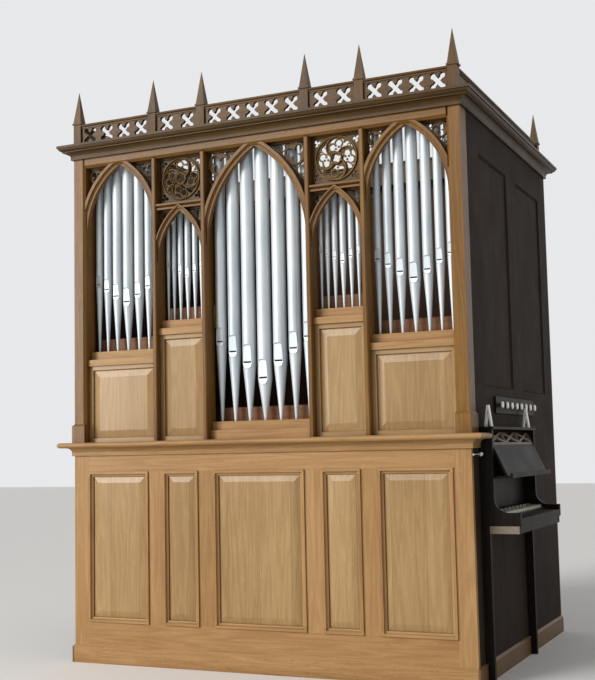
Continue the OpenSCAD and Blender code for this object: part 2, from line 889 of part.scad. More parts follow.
// Profile of a pipe from the tip of its foot upwards, for a revolve
module pipe_profile(r, foot, mouth, top) {
    tip = tip_r * (0.4 + 0.6 * r / (mid_pipe_d[0] / 2));
    polygon([[0, 0], [tip, 0], [r, mouth - foot], [r, top - foot], [0, top - foot]]);
}

// Outline of a pipe's two lips from the front, grown all round: straight sides between two arcs
module lip_outline(d, mouth, grown) {
    half = lip_w * d / 2 + grown;
    arc = lip_arc * d + grown;
    low = mouth - lip_drop * d - grown + arc;
    high = mouth + lip_rise * d + grown - arc;
    intersection() {
        translate([-half, low - arc]) square([2 * half, high - low + 2 * arc]);
        union() {
            translate([-arc, low]) square([2 * arc, high - low]);
            translate([0, low]) circle(arc);
            translate([0, high]) circle(arc);
        }
    }
}

// What is cut from the front of a pipe to flatten its lips; grown, what the bore stays clear of
module lip_cut(d, mouth, grown) {
    end = lip_end * d + grown - d / 2;
    low = mouth - lip_drop * d - grown;
    high = mouth + lip_rise * d + grown;
    intersection() {
        translate([-d, 0, 0]) rotate([90, 0, 90]) linear_extrude(2 * d)
            polygon([[lip_depth * d + grown - d / 2, mouth], [end, high], [-d, high], [-d, low], [end, low]]);
        rotate([90, 0, 0]) linear_extrude(d) lip_outline(d, mouth, grown);
    }
}

// A pipe with a solid foot, an open body, two flattened lips and a mouth between them
module organ_pipe(d, foot, mouth, top) {
    r = d / 2;
    translate([0, 0, foot]) difference() {
        rotate_extrude() pipe_profile(r, foot, mouth, top);
        difference() {
            translate([0, 0, mouth - foot + pipe_wall])
                cylinder(r = r - pipe_wall, h = top - mouth);
            lip_cut(d, mouth - foot, pipe_wall);
        }
        lip_cut(d, mouth - foot, 0);
        translate([-mouth_w * r, -r, mouth - foot]) cube([mouth_w * d, r, cut_up * d]);
    }
}

// Seven pipes of a bay: sizes are listed from its middle outwards
function pipe_x(sizes, n, gap) =
    n == 0 ? 0 : pipe_x(sizes, n - 1, gap) + (sizes[n - 1] + sizes[n]) / 2 + gap;

module pipe_bay(i, sizes, mouths, top) {
    run = sizes[0] / 2 + sizes[1] + sizes[2] + sizes[3];
    gap = (width(bay_spans[i]) / 2 - run) / 3.5;
    color(pipe_metal) for (n = [-3:3])
        translate([middle(bay_spans[i]) + sign(n) * pipe_x(sizes, abs(n), gap), front + pipe_axis, 0])
            organ_pipe(sizes[abs(n)], bay_toe_z[i], mouths[abs(n)], top);
}

module end_pipes(i) {
    pipe_bay(i, end_pipe_d, end_mouth_z, cornice_z - pipe_top_gap);
}

module narrow_pipes(i) {
    pipe_bay(i, narrow_pipe_d, narrow_mouth_z, transom_z);
}

module middle_pipes() {
    pipe_bay(2, mid_pipe_d, mid_mouth_z, cornice_z - pipe_top_gap);
}

// Upper sides
module upper_side_frame() {
    rotate([90, 0, 90]) linear_extrude(board) difference() {
        translate([front + post_d, impost_z]) square([case_d - post_d - board, cornice_z - impost_z]);
        for (y = [side_panel_1, side_panel_2])
            translate([front + y, side_panel_foot])
                square([side_panel_w, side_panel_top - side_panel_foot]);
    }
}

module upper_right_side() {
    color(wood) difference() {
        translate([half_w - board, 0, 0]) upper_side_frame();
        for (y = stop_ys) translate([half_w - board - 1, y, stops_z]) rotate([0, 90, 0])
            cylinder(r = stem_r + wall_clear, h = board + 2);
    }
}

module upper_left_side() {
    color(wood) mirror([1, 0, 0]) translate([half_w - board, 0, 0]) upper_side_frame();
}

module side_panels() {
    color(wood) for (side = [-1, 1], y = [side_panel_1, side_panel_2]) {
        x = side > 0 ? half_w - side_recess - side_panel_t : side_recess - half_w;
        block([x, front + y, side_panel_foot],
            [x + side_panel_t, front + y + side_panel_w, side_panel_top]);
    }
}

// Cornice: a fillet, a cove, an ovolo and a top fillet, from below
cornice_seat = board + 6;

module cornice_section() {
    cove_z = cornice_z + cornice_foot_h;
    ovolo_x = cornice_out - cornice_step - cornice_ovolo_r;
    ovolo_z = cornice_top - cornice_fillet_h;
    difference() {
        union() {
            translate([-cornice_seat, cornice_z])
                square([cornice_seat + cornice_foot_out, cornice_h]);
            translate([0, cove_z]) square([ovolo_x, cornice_top - cove_z]);
            intersection() {
                translate([ovolo_x, ovolo_z]) circle(cornice_ovolo_r);
                translate([0, cove_z]) square([cornice_out, ovolo_z - cove_z]);
            }
            translate([0, ovolo_z]) square([cornice_out, cornice_fillet_h]);
        }
        translate([cornice_foot_out + cornice_cove_r, cove_z]) circle(cornice_cove_r);
    }
}

module cornice() {
    color(wood) translate([0, (front + rear) / 2, 0])
        ring_run(half_w, case_d / 2, cornice_out) cornice_section();
}

// Parapet
parapet_y = front - 10;
board_y = parapet_y + (cap_d - pierced_t) / 2;
cap_z = cornice_top + parapet_h - cap_h;
pinnacle_xs = [-pinnacle_end_x, -outer_mullion_x, -inner_mullion_x,
    inner_mullion_x, outer_mullion_x, pinnacle_end_x];
units = [4, 2, 5, 2, 4];

// A piercing of four lobes set crosswise, joined through the middle between four cusps
module quatrefoil() {
    reach = sqrt(foil_x * foil_x + foil_z * foil_z);
    tilt = atan2(foil_z, foil_x);
    for (a = [tilt, 180 - tilt, 180 + tilt, -tilt]) rotate(a) {
        translate([reach, 0]) circle(foil_r);
        translate([0, -foil_neck / 2]) square([reach, foil_neck]);
    }
}

module pierced_run(w, h, count) {
    pitch = w / count;
    difference() {
        square([w, h]);
        for (n = [0:count - 1]) translate([(n + 0.5) * pitch, h / 2]) quatrefoil();
    }
}

// Section of the cap rail: a round-nosed board on a narrower fillet
module cap_section() {
    nose_z = cap_h - cap_nose_r;
    translate([cap_step, 0]) square([cap_d - 2 * cap_step, cap_h]);
    translate([cap_nose_r, nose_z - cap_nose_r]) square([cap_d - 2 * cap_nose_r, 2 * cap_nose_r]);
    for (y = [cap_nose_r, cap_d - cap_nose_r]) translate([y, nose_z]) circle(cap_nose_r);
}

module parapet_front() {
    color(wood) for (n = [0:4]) {
        x0 = pinnacle_xs[n] + pinnacle_w / 2;
        x1 = pinnacle_xs[n + 1] - pinnacle_w / 2;
        block([x0, parapet_y, cornice_top], [x1, parapet_y + cap_d, cornice_top + sill_h]);
        translate([x0, board_y, cornice_top + sill_h]) upright(pierced_t)
            pierced_run(x1 - x0, parapet_h - cap_h - sill_h, units[n]);
        translate([x0, parapet_y, cap_z]) rotate([90, 0, 90]) linear_extrude(x1 - x0) cap_section();
    }
}

// A plain board under a cap rail, along +X from the origin on top of the cornice
module plain_parapet(length) {
    translate([0, -plain_parapet_t / 2, 0]) cube([length, plain_parapet_t, cap_z - cornice_top]);
    translate([0, -cap_d / 2, cap_z - cornice_top]) rotate([90, 0, 90]) linear_extrude(length) cap_section();
}

// The plain parapet at the rear, on a ledge let in between the sides of the cornice
module rear_parapet() {
    x = pinnacle_end_x - pinnacle_w / 2;
    y = front + pinnacle_rear;
    ledge_x = half_w - cornice_seat;
    block([-ledge_x, y - pinnacle_w / 2, cornice_top - rear_ledge_t],
        [ledge_x, rear - cornice_seat, cornice_top]);
    translate([-x, y, cornice_top]) plain_parapet(2 * x);
}

module parapet_sides() {
    y0 = parapet_y + pinnacle_w;
    y1 = front + pinnacle_rear - pinnacle_w / 2;
    color(wood) {
        for (side = [-1, 1])
            translate([side * pinnacle_end_x, y0, cornice_top]) rotate(90) plain_parapet(y1 - y0);
        rear_parapet();
    }
}

module pinnacle() {
    foot = cornice_top + parapet_h;
    translate([-pinnacle_w / 2, -pinnacle_w / 2, cornice_top])
        cube([pinnacle_w, pinnacle_w, parapet_h]);
    translate([-spire_w / 2, -spire_w / 2, foot]) cube([spire_w, spire_w, eaves_t]);
    translate([0, 0, foot + eaves_t]) intersection() {
        translate([0, spire_w / 2, 0]) rotate([90, 0, 0]) linear_extrude(spire_w) spire_face();
        translate([-spire_w / 2, 0, 0]) rotate([90, 0, 90]) linear_extrude(spire_w) spire_face();
    }
}

module spire_face() {
    half = (spire_w - eaves_t) / 2;
    polygon([[-half, 0], [half, 0], [0, spire_h - eaves_t]]);
}

module pinnacles() {
    color(wood) {
        for (x = pinnacle_xs) translate([x, parapet_y + pinnacle_w / 2, 0]) pinnacle();
        for (side = [-1, 1])
            translate([side * pinnacle_end_x, front + pinnacle_rear, 0]) pinnacle();
    }
}

// Keydesk
desk_y0 = front + desk_mid - desk_w / 2;
desk_y1 = front + desk_mid + desk_w / 2;
inner_y0 = desk_y0 + cheek_t;
inner_y1 = desk_y1 - cheek_t;
table_top = table_z + table_t;
shelf_top = desk_top_z + shelf_t;

// Side view of a cheek: outwards, then up
module cheek_drawing() {
    difference() {
        union() {
            translate([plinth_out, 0]) square([leg_out - plinth_out, plinth_h]);
            translate([0, plinth_h]) square([leg_out, table_z - plinth_h]);
            translate([0, table_z]) square([table_out, key_z - table_z]);
            translate([0, key_z]) square([cheek_out, desk_top_z - key_z]);
            translate([cheek_out, key_z]) square(cheek_cove_r);
        }
        translate([cheek_out + cheek_cove_r, key_z + cheek_cove_r]) circle(cheek_cove_r);
    }
}

module keydesk_cheeks() {
    color(dark_wood) for (y = [desk_y0, inner_y1])
        translate([half_w, y + cheek_t, 0]) rotate([90, 0, 0])
            linear_extrude(cheek_t) cheek_drawing();
}

// Key table with a block at each end of the keys, a slip before them and a rail underneath
module key_table() {
    color(dark_wood) {
        block([half_w, inner_y0, table_z], [half_w + table_out, inner_y1, table_top]);
        block([half_w + leg_out, desk_y0, table_z - under_rail_h],
            [half_w + table_out - under_rail_back, desk_y1, table_z]);
        for (y = [[inner_y0, keys_y0 - key_gap], [keys_y0 + keys_w + key_gap, inner_y1]])
            block([half_w, y[0], table_top], [half_w + key_out, y[1], key_z + key_block_up]);
        block([half_w + key_out + key_gap, inner_y0, table_top],
            [half_w + key_out + key_gap + slip_t, inner_y1, table_top + slip_h]);
    }
}

keys_w = naturals * key_pitch;
keys_y0 = front + desk_mid - keys_w / 2;
key_block_up = 4;
slip_t = 18;
slip_h = 12;

module natural_keys() {
    color([0.9, 0.88, 0.8]) for (n = [0:naturals - 1])
        block([half_w + key_out - key_len, keys_y0 + n * key_pitch + key_gap / 2, table_top],
            [half_w + key_out, keys_y0 + (n + 1) * key_pitch - key_gap / 2, key_z]);
}

// Sharps stand between naturals except after every third and seventh
function has_sharp(n) = let(step = n % 7) step != 2 && step != 6;

// A sharp, sloped at its front end: outwards, then up
module sharp_drawing() {
    polygon([[0, 0], [sharp_len, 0], [sharp_len - sharp_h / 2, sharp_h], [0, sharp_h]]);
}

module sharp_keys() {
    color([0.1, 0.08, 0.07]) for (n = [0:naturals - 2]) if (has_sharp(n))
        translate([half_w + key_out - key_len, keys_y0 + (n + 1) * key_pitch + sharp_w / 2, key_z])
            rotate([90, 0, 0]) linear_extrude(sharp_w) sharp_drawing();
}

// Board behind the keys and the shelf over the music desk
name_board_t = 8;
name_board_gap = 12;

module keydesk_boards() {
    color(dark_wood) {
        block([half_w, inner_y0, key_z + name_board_gap],
            [half_w + name_board_t, inner_y1, desk_foot_z - desk_ledge_t]);
        block([half_w, desk_y0, desk_top_z],
            [half_w + cheek_out + name_board_t, desk_y1, shelf_top]);
    }
}

// Fret along the top of the music desk: a row of crosses between two rails
module fret(w) {
    cell = w / fret_count;
    difference() {
        square([w, fret_h]);
        for (n = [0:fret_count - 1]) translate([(n + 0.5) * cell, fret_h / 2]) difference() {
            square([cell - fret_bar, fret_h - 2 * fret_rail], center = true);
            for (side = [-1, 1]) rotate(side * atan2(fret_h - 2 * fret_rail, cell - fret_bar))
                square([2 * cell, fret_bar], center = true);
        }
    }
}

// Music desk: a leaning board with a fretted head, on a lipped ledge
module music_desk() {
    w = inner_y1 - inner_y0;
    foot_x = desk_ledge_out - desk_lip_t - desk_t / cos(desk_lean) - desk_ledge_t;
    color(dark_wood) {
        translate([half_w, inner_y1, desk_foot_z]) rotate([90, 0, 0]) linear_extrude(w)
            polygon([[0, -desk_ledge_t], [desk_ledge_out, -desk_ledge_t],
                [desk_ledge_out, desk_lip_h], [desk_ledge_out - desk_lip_t, desk_lip_h],
                [desk_ledge_out - desk_lip_t, 0], [0, 0]]);
        intersection() {
            translate([half_w + foot_x, inner_y0, desk_foot_z]) rotate([0, -desk_lean, 0])
                translate([0, 0, -desk_t]) rotate([90, 0, 90]) linear_extrude(desk_t) {
                    square([w, desk_slope + desk_t - fret_h]);
                    translate([0, desk_slope + desk_t - fret_h]) fret(w);
                }
            block([half_w, inner_y0, desk_foot_z - desk_ledge_t / 2],
                [half_w + desk_ledge_out, inner_y1, desk_top_z]);
        }
    }
}

// Board that the stops draw through
stop_ys = [for (n = [-3.5:1:3.5]) front + stops_mid + n * knob_pitch];
jamb_t = 12;
stem_r = 6;
stem_clear = 0.3;
wall_clear = 2;
stem_back = board + stop_travel + 20;

module stop_jamb() {
    color(dark_wood) difference() {
        block([half_w, stop_ys[0] - jamb_end, stops_z - jamb_h / 2],
            [half_w + jamb_t, stop_ys[7] + jamb_end, stops_z + jamb_h / 2]);
        for (y = stop_ys) translate([half_w - 1, y, stops_z]) rotate([0, 90, 0])
            cylinder(r = stem_r + stem_clear, h = jamb_t + 2);
    }
}

// A stop knob on its stem, pushed home: a flared neck under a bevelled head
module stop_knob(n) {
    r = knob_d / 2;
    bevel = knob_head_t / 2.5;
    color([0.92, 0.9, 0.84]) translate([half_w + jamb_t, stop_ys[n - 1], stops_z]) rotate([0, 90, 0])
        rotate_extrude() polygon([[0, -jamb_t - stem_back], [stem_r, -jamb_t - stem_back],
            [stem_r, 2], [r - bevel, knob_len - knob_head_t - bevel], [r, knob_len - knob_head_t],
            [r, knob_len - bevel], [r - bevel, knob_len], [0, knob_len]]);
}

// Two folded shades on the shelf, over the ends of the keys
shade_end = 20;

module shade_drawing() {
    polygon([[-shade_spread / 2, 0], [-shade_fold / 2, shade_h], [shade_fold / 2, shade_h],
        [shade_spread / 2, 0], [shade_spread / 2 - shade_t, 0], [0, shade_h - 2.5 * shade_t],
        [shade_t - shade_spread / 2, 0]]);
}

module desk_lamps() {
    color([0.95, 0.94, 0.9]) for (y = [inner_y0 + shade_end, inner_y1 - shade_end - shade_len])
        translate([half_w + cheek_out / 2 + name_board_t / 2, y + shade_len, shelf_top])
            rotate([90, 0, 0]) linear_extrude(shade_len) shade_drawing();
}

// A small jointed arm at the front corner
module arm_lamp() {
    color([0.75, 0.75, 0.75]) translate([half_w, front + arm_y, arm_z]) {
        rotate([0, 90, 0]) cylinder(r = rose_r, h = rose_t);
        rotate([0, 90, 0]) cylinder(r = rod_r, h = ball_out);
        translate([ball_out, 0, 0]) sphere(r = ball_r);
        translate([ball_out, 0, 0]) rotate([90, 0, 0]) cylinder(r = rod_r, h = arm_len);
    }
}

plinth();
lower_front_frame();
lower_front_panels();
lower_panel_mouldings();
lower_left_side();
lower_right_side();
back_wall();
impost();
end_posts();
mullions();
tall_arches();
small_arches();
tracery();
toe_boards();
upper_front_panels();
end_pipes(0);  // pipes_bay_1
narrow_pipes(1);  // pipes_bay_2
middle_pipes();  // pipes_bay_3
narrow_pipes(3);  // pipes_bay_4
end_pipes(4);  // pipes_bay_5
rack_boards();
upper_left_side();
upper_right_side();
side_panels();
cornice();
parapet_front();
parapet_sides();
pinnacles();
keydesk_cheeks();
key_table();
natural_keys();
sharp_keys();
keydesk_boards();
music_desk();
stop_jamb();
stop_knob(1);  // stop_1
stop_knob(2);  // stop_2
stop_knob(3);  // stop_3
stop_knob(4);  // stop_4
stop_knob(5);  // stop_5
stop_knob(6);  // stop_6
stop_knob(7);  // stop_7
stop_knob(8);  // stop_8
desk_lamps();
arm_lamp();
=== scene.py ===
"""Looks of a church pipe organ: varnished oak case, tin display pipes and a keydesk on the
right side. Everything is in metres in the case's own frame: the front is the plane y = 0 and
looks towards -Y."""
import math

import bpy
import numpy as np
from mathutils import Matrix, Vector


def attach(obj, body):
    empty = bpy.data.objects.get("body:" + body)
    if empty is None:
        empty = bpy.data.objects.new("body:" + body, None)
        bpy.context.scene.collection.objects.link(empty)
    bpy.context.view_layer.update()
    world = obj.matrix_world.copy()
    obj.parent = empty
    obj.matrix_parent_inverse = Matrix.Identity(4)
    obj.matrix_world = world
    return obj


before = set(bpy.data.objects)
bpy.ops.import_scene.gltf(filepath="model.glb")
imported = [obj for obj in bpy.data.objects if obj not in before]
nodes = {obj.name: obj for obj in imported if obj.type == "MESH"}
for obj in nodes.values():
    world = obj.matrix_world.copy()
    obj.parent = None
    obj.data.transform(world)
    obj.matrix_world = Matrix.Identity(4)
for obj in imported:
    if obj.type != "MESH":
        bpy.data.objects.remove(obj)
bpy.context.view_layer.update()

MM = 0.001
FULL_TURN = 2 * math.pi

# Sizes of the case that the finishes and carved pieces share
HALF_W = 1.2
STILE_X = 1.104
LOWER_PANEL_FOOT, LOWER_PANEL_TOP = 0.232, 1.087
LOWER_MOULD_FOOT, LOWER_MOULD_TOP = 0.26, 1.06
SIDE_PANEL_FOOT, SIDE_PANEL_TOP, SIDE_PANEL_W = 1.508, 2.763, 0.583
SIDE_PANEL_STARTS = (0.320, 1.125)


def paint(red, green, blue):
    """A colour picked on a screen, 0 to 255, as the linear colour that a shader needs."""
    screen = np.array([red, green, blue]) / 255
    linear = np.where(screen < 0.04045, screen / 12.92, ((screen + 0.055) / 1.055) ** 2.4)
    return (*linear.tolist(), 1.0)


# Shader values and finishes

class Value:
    """A number that varies over a surface: an operator on it adds a Math node."""

    def __init__(self, finish, socket):
        self.finish = finish
        self.socket = socket

    def maths(self, operation, *others):
        inputs = dict(enumerate((self, *others)))
        return self.finish.node("ShaderNodeMath", {"operation": operation}, inputs)

    def __add__(self, other):
        return self.maths("ADD", other)

    def __sub__(self, other):
        return self.maths("SUBTRACT", other)

    def __rsub__(self, other):
        return self.finish.node("ShaderNodeMath", {"operation": "SUBTRACT"}, {0: other, 1: self})

    def __mul__(self, other):
        return self.maths("MULTIPLY", other)

    def __truediv__(self, other):
        return self.maths("DIVIDE", other)

    def __gt__(self, other):
        return self.maths("GREATER_THAN", other)

    def __lt__(self, other):
        return self.maths("LESS_THAN", other)

    def __abs__(self):
        return self.maths("ABSOLUTE")

    def ramp(self, low, high, to_low=0.0, to_high=1.0):
        """Smoothly from to_low where the value is low to to_high where it is high."""
        return self.finish.node("ShaderNodeMapRange", {"interpolation_type": "SMOOTHSTEP"}, {
            "Value": self, "From Min": low, "From Max": high, "To Min": to_low, "To Max": to_high})


class Finish:
    """One procedural finish, built node by node."""

    def __init__(self, name):
        self.material = bpy.data.materials.new(name)
        self.material.use_nodes = True
        self.tree = self.material.node_tree
        self.tree.nodes.clear()

    def node(self, kind, settings=None, inputs=None, output=0):
        """Adds a node of that type: its settings are set first, then its sockets."""
        made = self.tree.nodes.new(kind)
        for setting, value in (settings or {}).items():
            if setting == "stops":
                elements = made.color_ramp.elements
                while len(elements) < len(value):
                    elements.new(0.5)
                for element, (position, colour) in zip(elements, value):
                    element.position = position
                    element.color = colour
            else:
                setattr(made, setting, value)
        for key, value in (inputs or {}).items():
            if isinstance(value, Value):
                self.tree.links.new(value.socket, made.inputs[key])
            else:
                made.inputs[key].default_value = value
        return Value(self, made.outputs[output]) if made.outputs else None

    def place(self):
        return self.node("ShaderNodeTexCoord", output="Object")

    def parts(self, vector):
        split = self.node("ShaderNodeSeparateXYZ", inputs={0: vector}).socket.node
        return [Value(self, split.outputs[axis]) for axis in "XYZ"]

    def joined(self, x, y, z):
        return self.node("ShaderNodeCombineXYZ", inputs={0: x, 1: y, 2: z})

    def stretched(self, vector, scale):
        return self.node("ShaderNodeVectorMath", {"operation": "MULTIPLY"}, {0: vector, 1: scale})

    def shifted(self, vector, other):
        return self.node("ShaderNodeVectorMath", {"operation": "ADD"}, {0: vector, 1: other})

    def noise(self, vector, scale=1.0, detail=2.0, roughness=0.5, warp=0.0):
        inputs = {"Vector": vector, "Scale": scale, "Detail": detail, "Roughness": roughness}
        return self.node("ShaderNodeTexNoise", inputs={**inputs, "Distortion": warp})

    def colours(self, value, *stops):
        return self.node("ShaderNodeValToRGB", {"stops": stops}, {0: value})

    def mix(self, mask, first, second, how="MIX"):
        return self.node("ShaderNodeMix", {"data_type": "RGBA", "blend_type": how},
                         {0: mask, 6: first, 7: second}, output=2)

    def mix_places(self, mask, first, second):
        return self.node("ShaderNodeMix", {"data_type": "VECTOR"},
                         {0: mask, 4: first, 5: second}, output=1)

    def bump(self, height, strength, distance):
        return self.node("ShaderNodeBump", inputs={
            "Height": height, "Strength": strength, "Distance": distance})

    def crevice(self, reach):
        """1 in the open, towards 0 in corners and hollows that are narrower than reach."""
        return self.node("ShaderNodeAmbientOcclusion", {"samples": 6}, {"Distance": reach},
                         output="AO")

    def surface(self, **inputs):
        """Ends the finish in a Principled shader; an underscore in a name stands for a space."""
        shader = self.node("ShaderNodeBsdfPrincipled",
                           inputs={name.replace("_", " "): value for name, value in inputs.items()})
        self.node("ShaderNodeOutputMaterial", inputs={"Surface": shader})
        return self.material


GRAIN_ORDER = {"x": (1, 2, 0), "y": (0, 2, 1), "z": (0, 1, 2)}


def between(value, low, high):
    """1 where the value lies between low and high, else 0."""
    return (value > low) * (value < high)


def either(first, second):
    """1 where at least one of two masks is 1."""
    return (first + second).maths("MINIMUM", 1.0)


def darker(colour, share):
    """A colour at that share of its strength."""
    return tuple(share * channel for channel in colour[:3]) + (1.0,)


# The shares of each layer in an oak board's tone, how far each board's pattern is shifted, the
# sine's angle in radians for a unit of noise (2 pi is one band), half the width of a joint and
# of its core, and how high the scuffs go
BAND_SHARE, STREAK_SHARE, PATCH_SHARE, BOARD_SHARE, RAY_SHARE = 0.12, 0.30, 0.42, 0.16, 0.25
BOARD_SHIFT = (2.0, 5.0, 9.0)
BAND_RADIANS = 46.0
JOINT_HALF, JOINT_CORE = 0.0022, 0.0006
SCUFF_TOP = 0.5


def oak(name, tones, along="z", crossed=None, cross_along="x", board=0.16, gloss=0.42, coat=0.08,
        shine=0.16, corner_shade=0.5, flecks=0.25, scuffs=0.0, other=None, joints=0.0):
    """Varnished oak. The grain is slow noise stretched along the board, folded into bands by a
    sine; fine streaks, open pores and pale ray flecks lie over it, and each board has its own tone.
    crossed(x, y, z) is 1 where the boards run along cross_along, as rails do between stiles, and
    other pairs a mask of the same kind with a second tone there: the pale fret and rail on the
    keydesk, and painted shade on the side faces of the plinth and cornice. joints above 0 draws
    a fine dark groove between neighbouring boards."""
    f = Finish(name)
    place = f.place()
    axes = f.parts(place)
    run = f.joined(*[axes[i] for i in GRAIN_ORDER[along]])
    if crossed:
        rails = f.joined(*[axes[i] for i in GRAIN_ORDER[cross_along]])
        mask = crossed(*axes)
        run = f.mix_places(mask, run, rails)
        run = f.shifted(run, f.joined(mask * 3.7, mask * 1.3, 0.0))
    across, deep, _ = f.parts(run)
    number = (across / board + deep * 1.7).maths("FLOOR")
    own = f.node("ShaderNodeTexWhiteNoise", {"noise_dimensions": "1D"}, {"W": number})
    run = f.shifted(run, f.joined(*[own * shift for shift in BOARD_SHIFT]))
    bend = f.noise(f.stretched(run, (3.0, 3.0, 0.8)))
    bent = f.shifted(run, f.joined(bend * 0.05, bend * 0.02, 0.0))
    growth = f.noise(f.stretched(bent, (15.0, 15.0, 0.9)), detail=2.0)
    bands = (growth * BAND_RADIANS).maths("SINE") * 0.5 + 0.5
    streaks = f.noise(f.stretched(bent, (240.0, 240.0, 4.0)), detail=3.0, roughness=0.6)
    pores = f.noise(f.stretched(bent, (1100.0, 1100.0, 40.0))).ramp(0.58, 0.68)
    rays = f.noise(f.stretched(bent, (70.0, 70.0, 16.0)), warp=0.6).ramp(0.6, 0.7)
    patches = f.noise(f.stretched(run, (2.2, 2.2, 0.9)), detail=3.0)
    tone = (bands * BAND_SHARE + streaks * STREAK_SHARE + patches * PATCH_SHARE
            + own * BOARD_SHARE + rays * flecks * RAY_SHARE)
    colour = f.colours(tone, (0.16, tones[0]), (0.5, tones[1]), (0.84, tones[2]))
    colour = f.mix(pores * (1.0 - rays) * 0.35, colour, tones[0])
    if other:
        where, second = other
        colour = f.mix(where(*axes) * (tone * 0.6 + 0.4), colour, second)
    groove = 0.0
    if joints:
        edge = abs((across / board + deep * 1.7).maths("FRACT") - 0.5)
        groove = edge.ramp(0.5 - JOINT_HALF / board, 0.5 - JOINT_CORE / board)
        colour = f.mix(groove * joints, colour, darker(tones[0], 0.25))
    # Painted shade: ambient occlusion darkens corners and hollows narrower than 45 mm towards a
    # dark tone, as far as corner_shade says.
    shade = f.crevice(0.045).ramp(0.15, 0.85, corner_shade, 0.0)
    colour = f.mix(shade, colour, darker(tones[0], 0.30))
    if scuffs:
        low = axes[2].ramp(0.0, SCUFF_TOP, 1.0, 0.0)
        marks = f.noise(f.stretched(place, (30.0, 30.0, 70.0)), detail=4.0, roughness=0.7)
        colour = f.mix(low * marks.ramp(0.55, 0.7) * scuffs, colour, darker(tones[0], 0.45))
    smears = f.noise(f.stretched(place, (5.0, 5.0, 5.0)), detail=4.0)
    relief = streaks * 0.5 - pores * 0.9 + bands * 0.15 - groove * 3.0
    return f.surface(Base_Color=colour, Roughness=smears * 0.22 + streaks * 0.10 + (gloss - 0.16),
                     Specular_IOR_Level=shine, Coat_Weight=coat, Coat_Roughness=0.25,
                     Normal=f.bump(relief, 0.35, 0.0006))


HONEY = (paint(126, 90, 52), paint(160, 123, 79), paint(186, 150, 105))
PALE_HONEY = (paint(130, 100, 60), paint(160, 129, 86), paint(184, 155, 110))
# AMBER, CARVED and CROWN grow darker up the case: partly the oak's own deeper tone, partly painted
# shade of the dimly lit upper case.
AMBER = (paint(76, 49, 16), paint(115, 79, 30), paint(148, 108, 50))
CARVED = (paint(58, 39, 16), paint(86, 61, 28), paint(114, 84, 43))
GILDED = (paint(82, 60, 27), paint(118, 91, 46), paint(152, 122, 68))
CROWN = (paint(51, 35, 13), paint(79, 57, 24), paint(109, 83, 42))
SHADED = (paint(34, 27, 23), paint(52, 43, 37), paint(70, 58, 50))
# The keydesk's tones: dark-stained oak, darkened further as painted shade.
KEYDESK_STAIN_AND_SHADE = (paint(13, 11, 10), paint(25, 21, 18), paint(42, 35, 30))
INNER = (paint(40, 26, 18), paint(64, 43, 32), paint(88, 62, 46))
PINE = (paint(90, 57, 38), paint(124, 86, 61), paint(150, 112, 84))
FRET = paint(150, 136, 122)
KNOB_FACE_X = 1.226


# Masks of where the wood's run or tone changes; each takes the place x, y, z on the surface

OUTER_X, RUN_FRONT_Y = HALF_W + 0.0001, -0.02
INNER_MULLION_X, MULLION_X = 0.325, 0.648
END_LEDGE_Z, NARROW_LEDGE_Z, UPPER_MARGIN, UPPER_PANEL_FOOT = 1.742, 1.907, 0.065, 1.285
FRET_Z = (1.196, 1.262)
KEY_RAIL_TOP, KEY_RAIL_BACK = 0.785, 0.135
TRANSOM_Z, FRIEZE_FOOT = (2.59, 2.624), 2.8965

def lower_rails(x, y, z):
    """1 on the rails above and below the lower panels, but not on the end stiles."""
    return either(z < LOWER_PANEL_FOOT, z > LOWER_PANEL_TOP) * (abs(x) < STILE_X)


def moulding_rails(x, y, z):
    """1 on the level lengths of the mouldings round the lower panels."""
    return either(z < LOWER_MOULD_FOOT, z > LOWER_MOULD_TOP)


def level_runs(x, y, z):
    """1 where a run that goes round the case lies along its sides."""
    return (abs(x) > OUTER_X) * (y > 0.0)


def side_rails(x, y, z):
    """1 on the level rails over and under the upper side panels."""
    return either(z < SIDE_PANEL_FOOT, z > SIDE_PANEL_TOP)


def upper_front_rails(x, y, z):
    """1 on the level members among the upper panels: the ledge and the panel frames' rails."""
    end_bay = abs(x) > MULLION_X
    top = end_bay * END_LEDGE_Z + (1.0 - end_bay) * NARROW_LEDGE_Z
    return either(z > top - UPPER_MARGIN, z < UPPER_PANEL_FOOT)


def side_run(x, y, z):
    """1 on the outer faces of a run that lie along the case's sides."""
    return (abs(x) > OUTER_X) * (y > RUN_FRONT_Y)


def fret_bars(x, y, z):
    """1 on the crosses of the fret under the top of the music desk."""
    return between(z, *FRET_Z)


def under_rail(x, y, z):
    """1 on the near end of the rail under the key table."""
    return (z < KEY_RAIL_TOP) * (y < KEY_RAIL_BACK)


def arch_rails(x, y, z):
    """1 on the frieze rail over the arches and on the transoms under the wheels."""
    transom = between(z, *TRANSOM_Z) * between(abs(x), INNER_MULLION_X, MULLION_X)
    return either(z > FRIEZE_FOOT, transom)


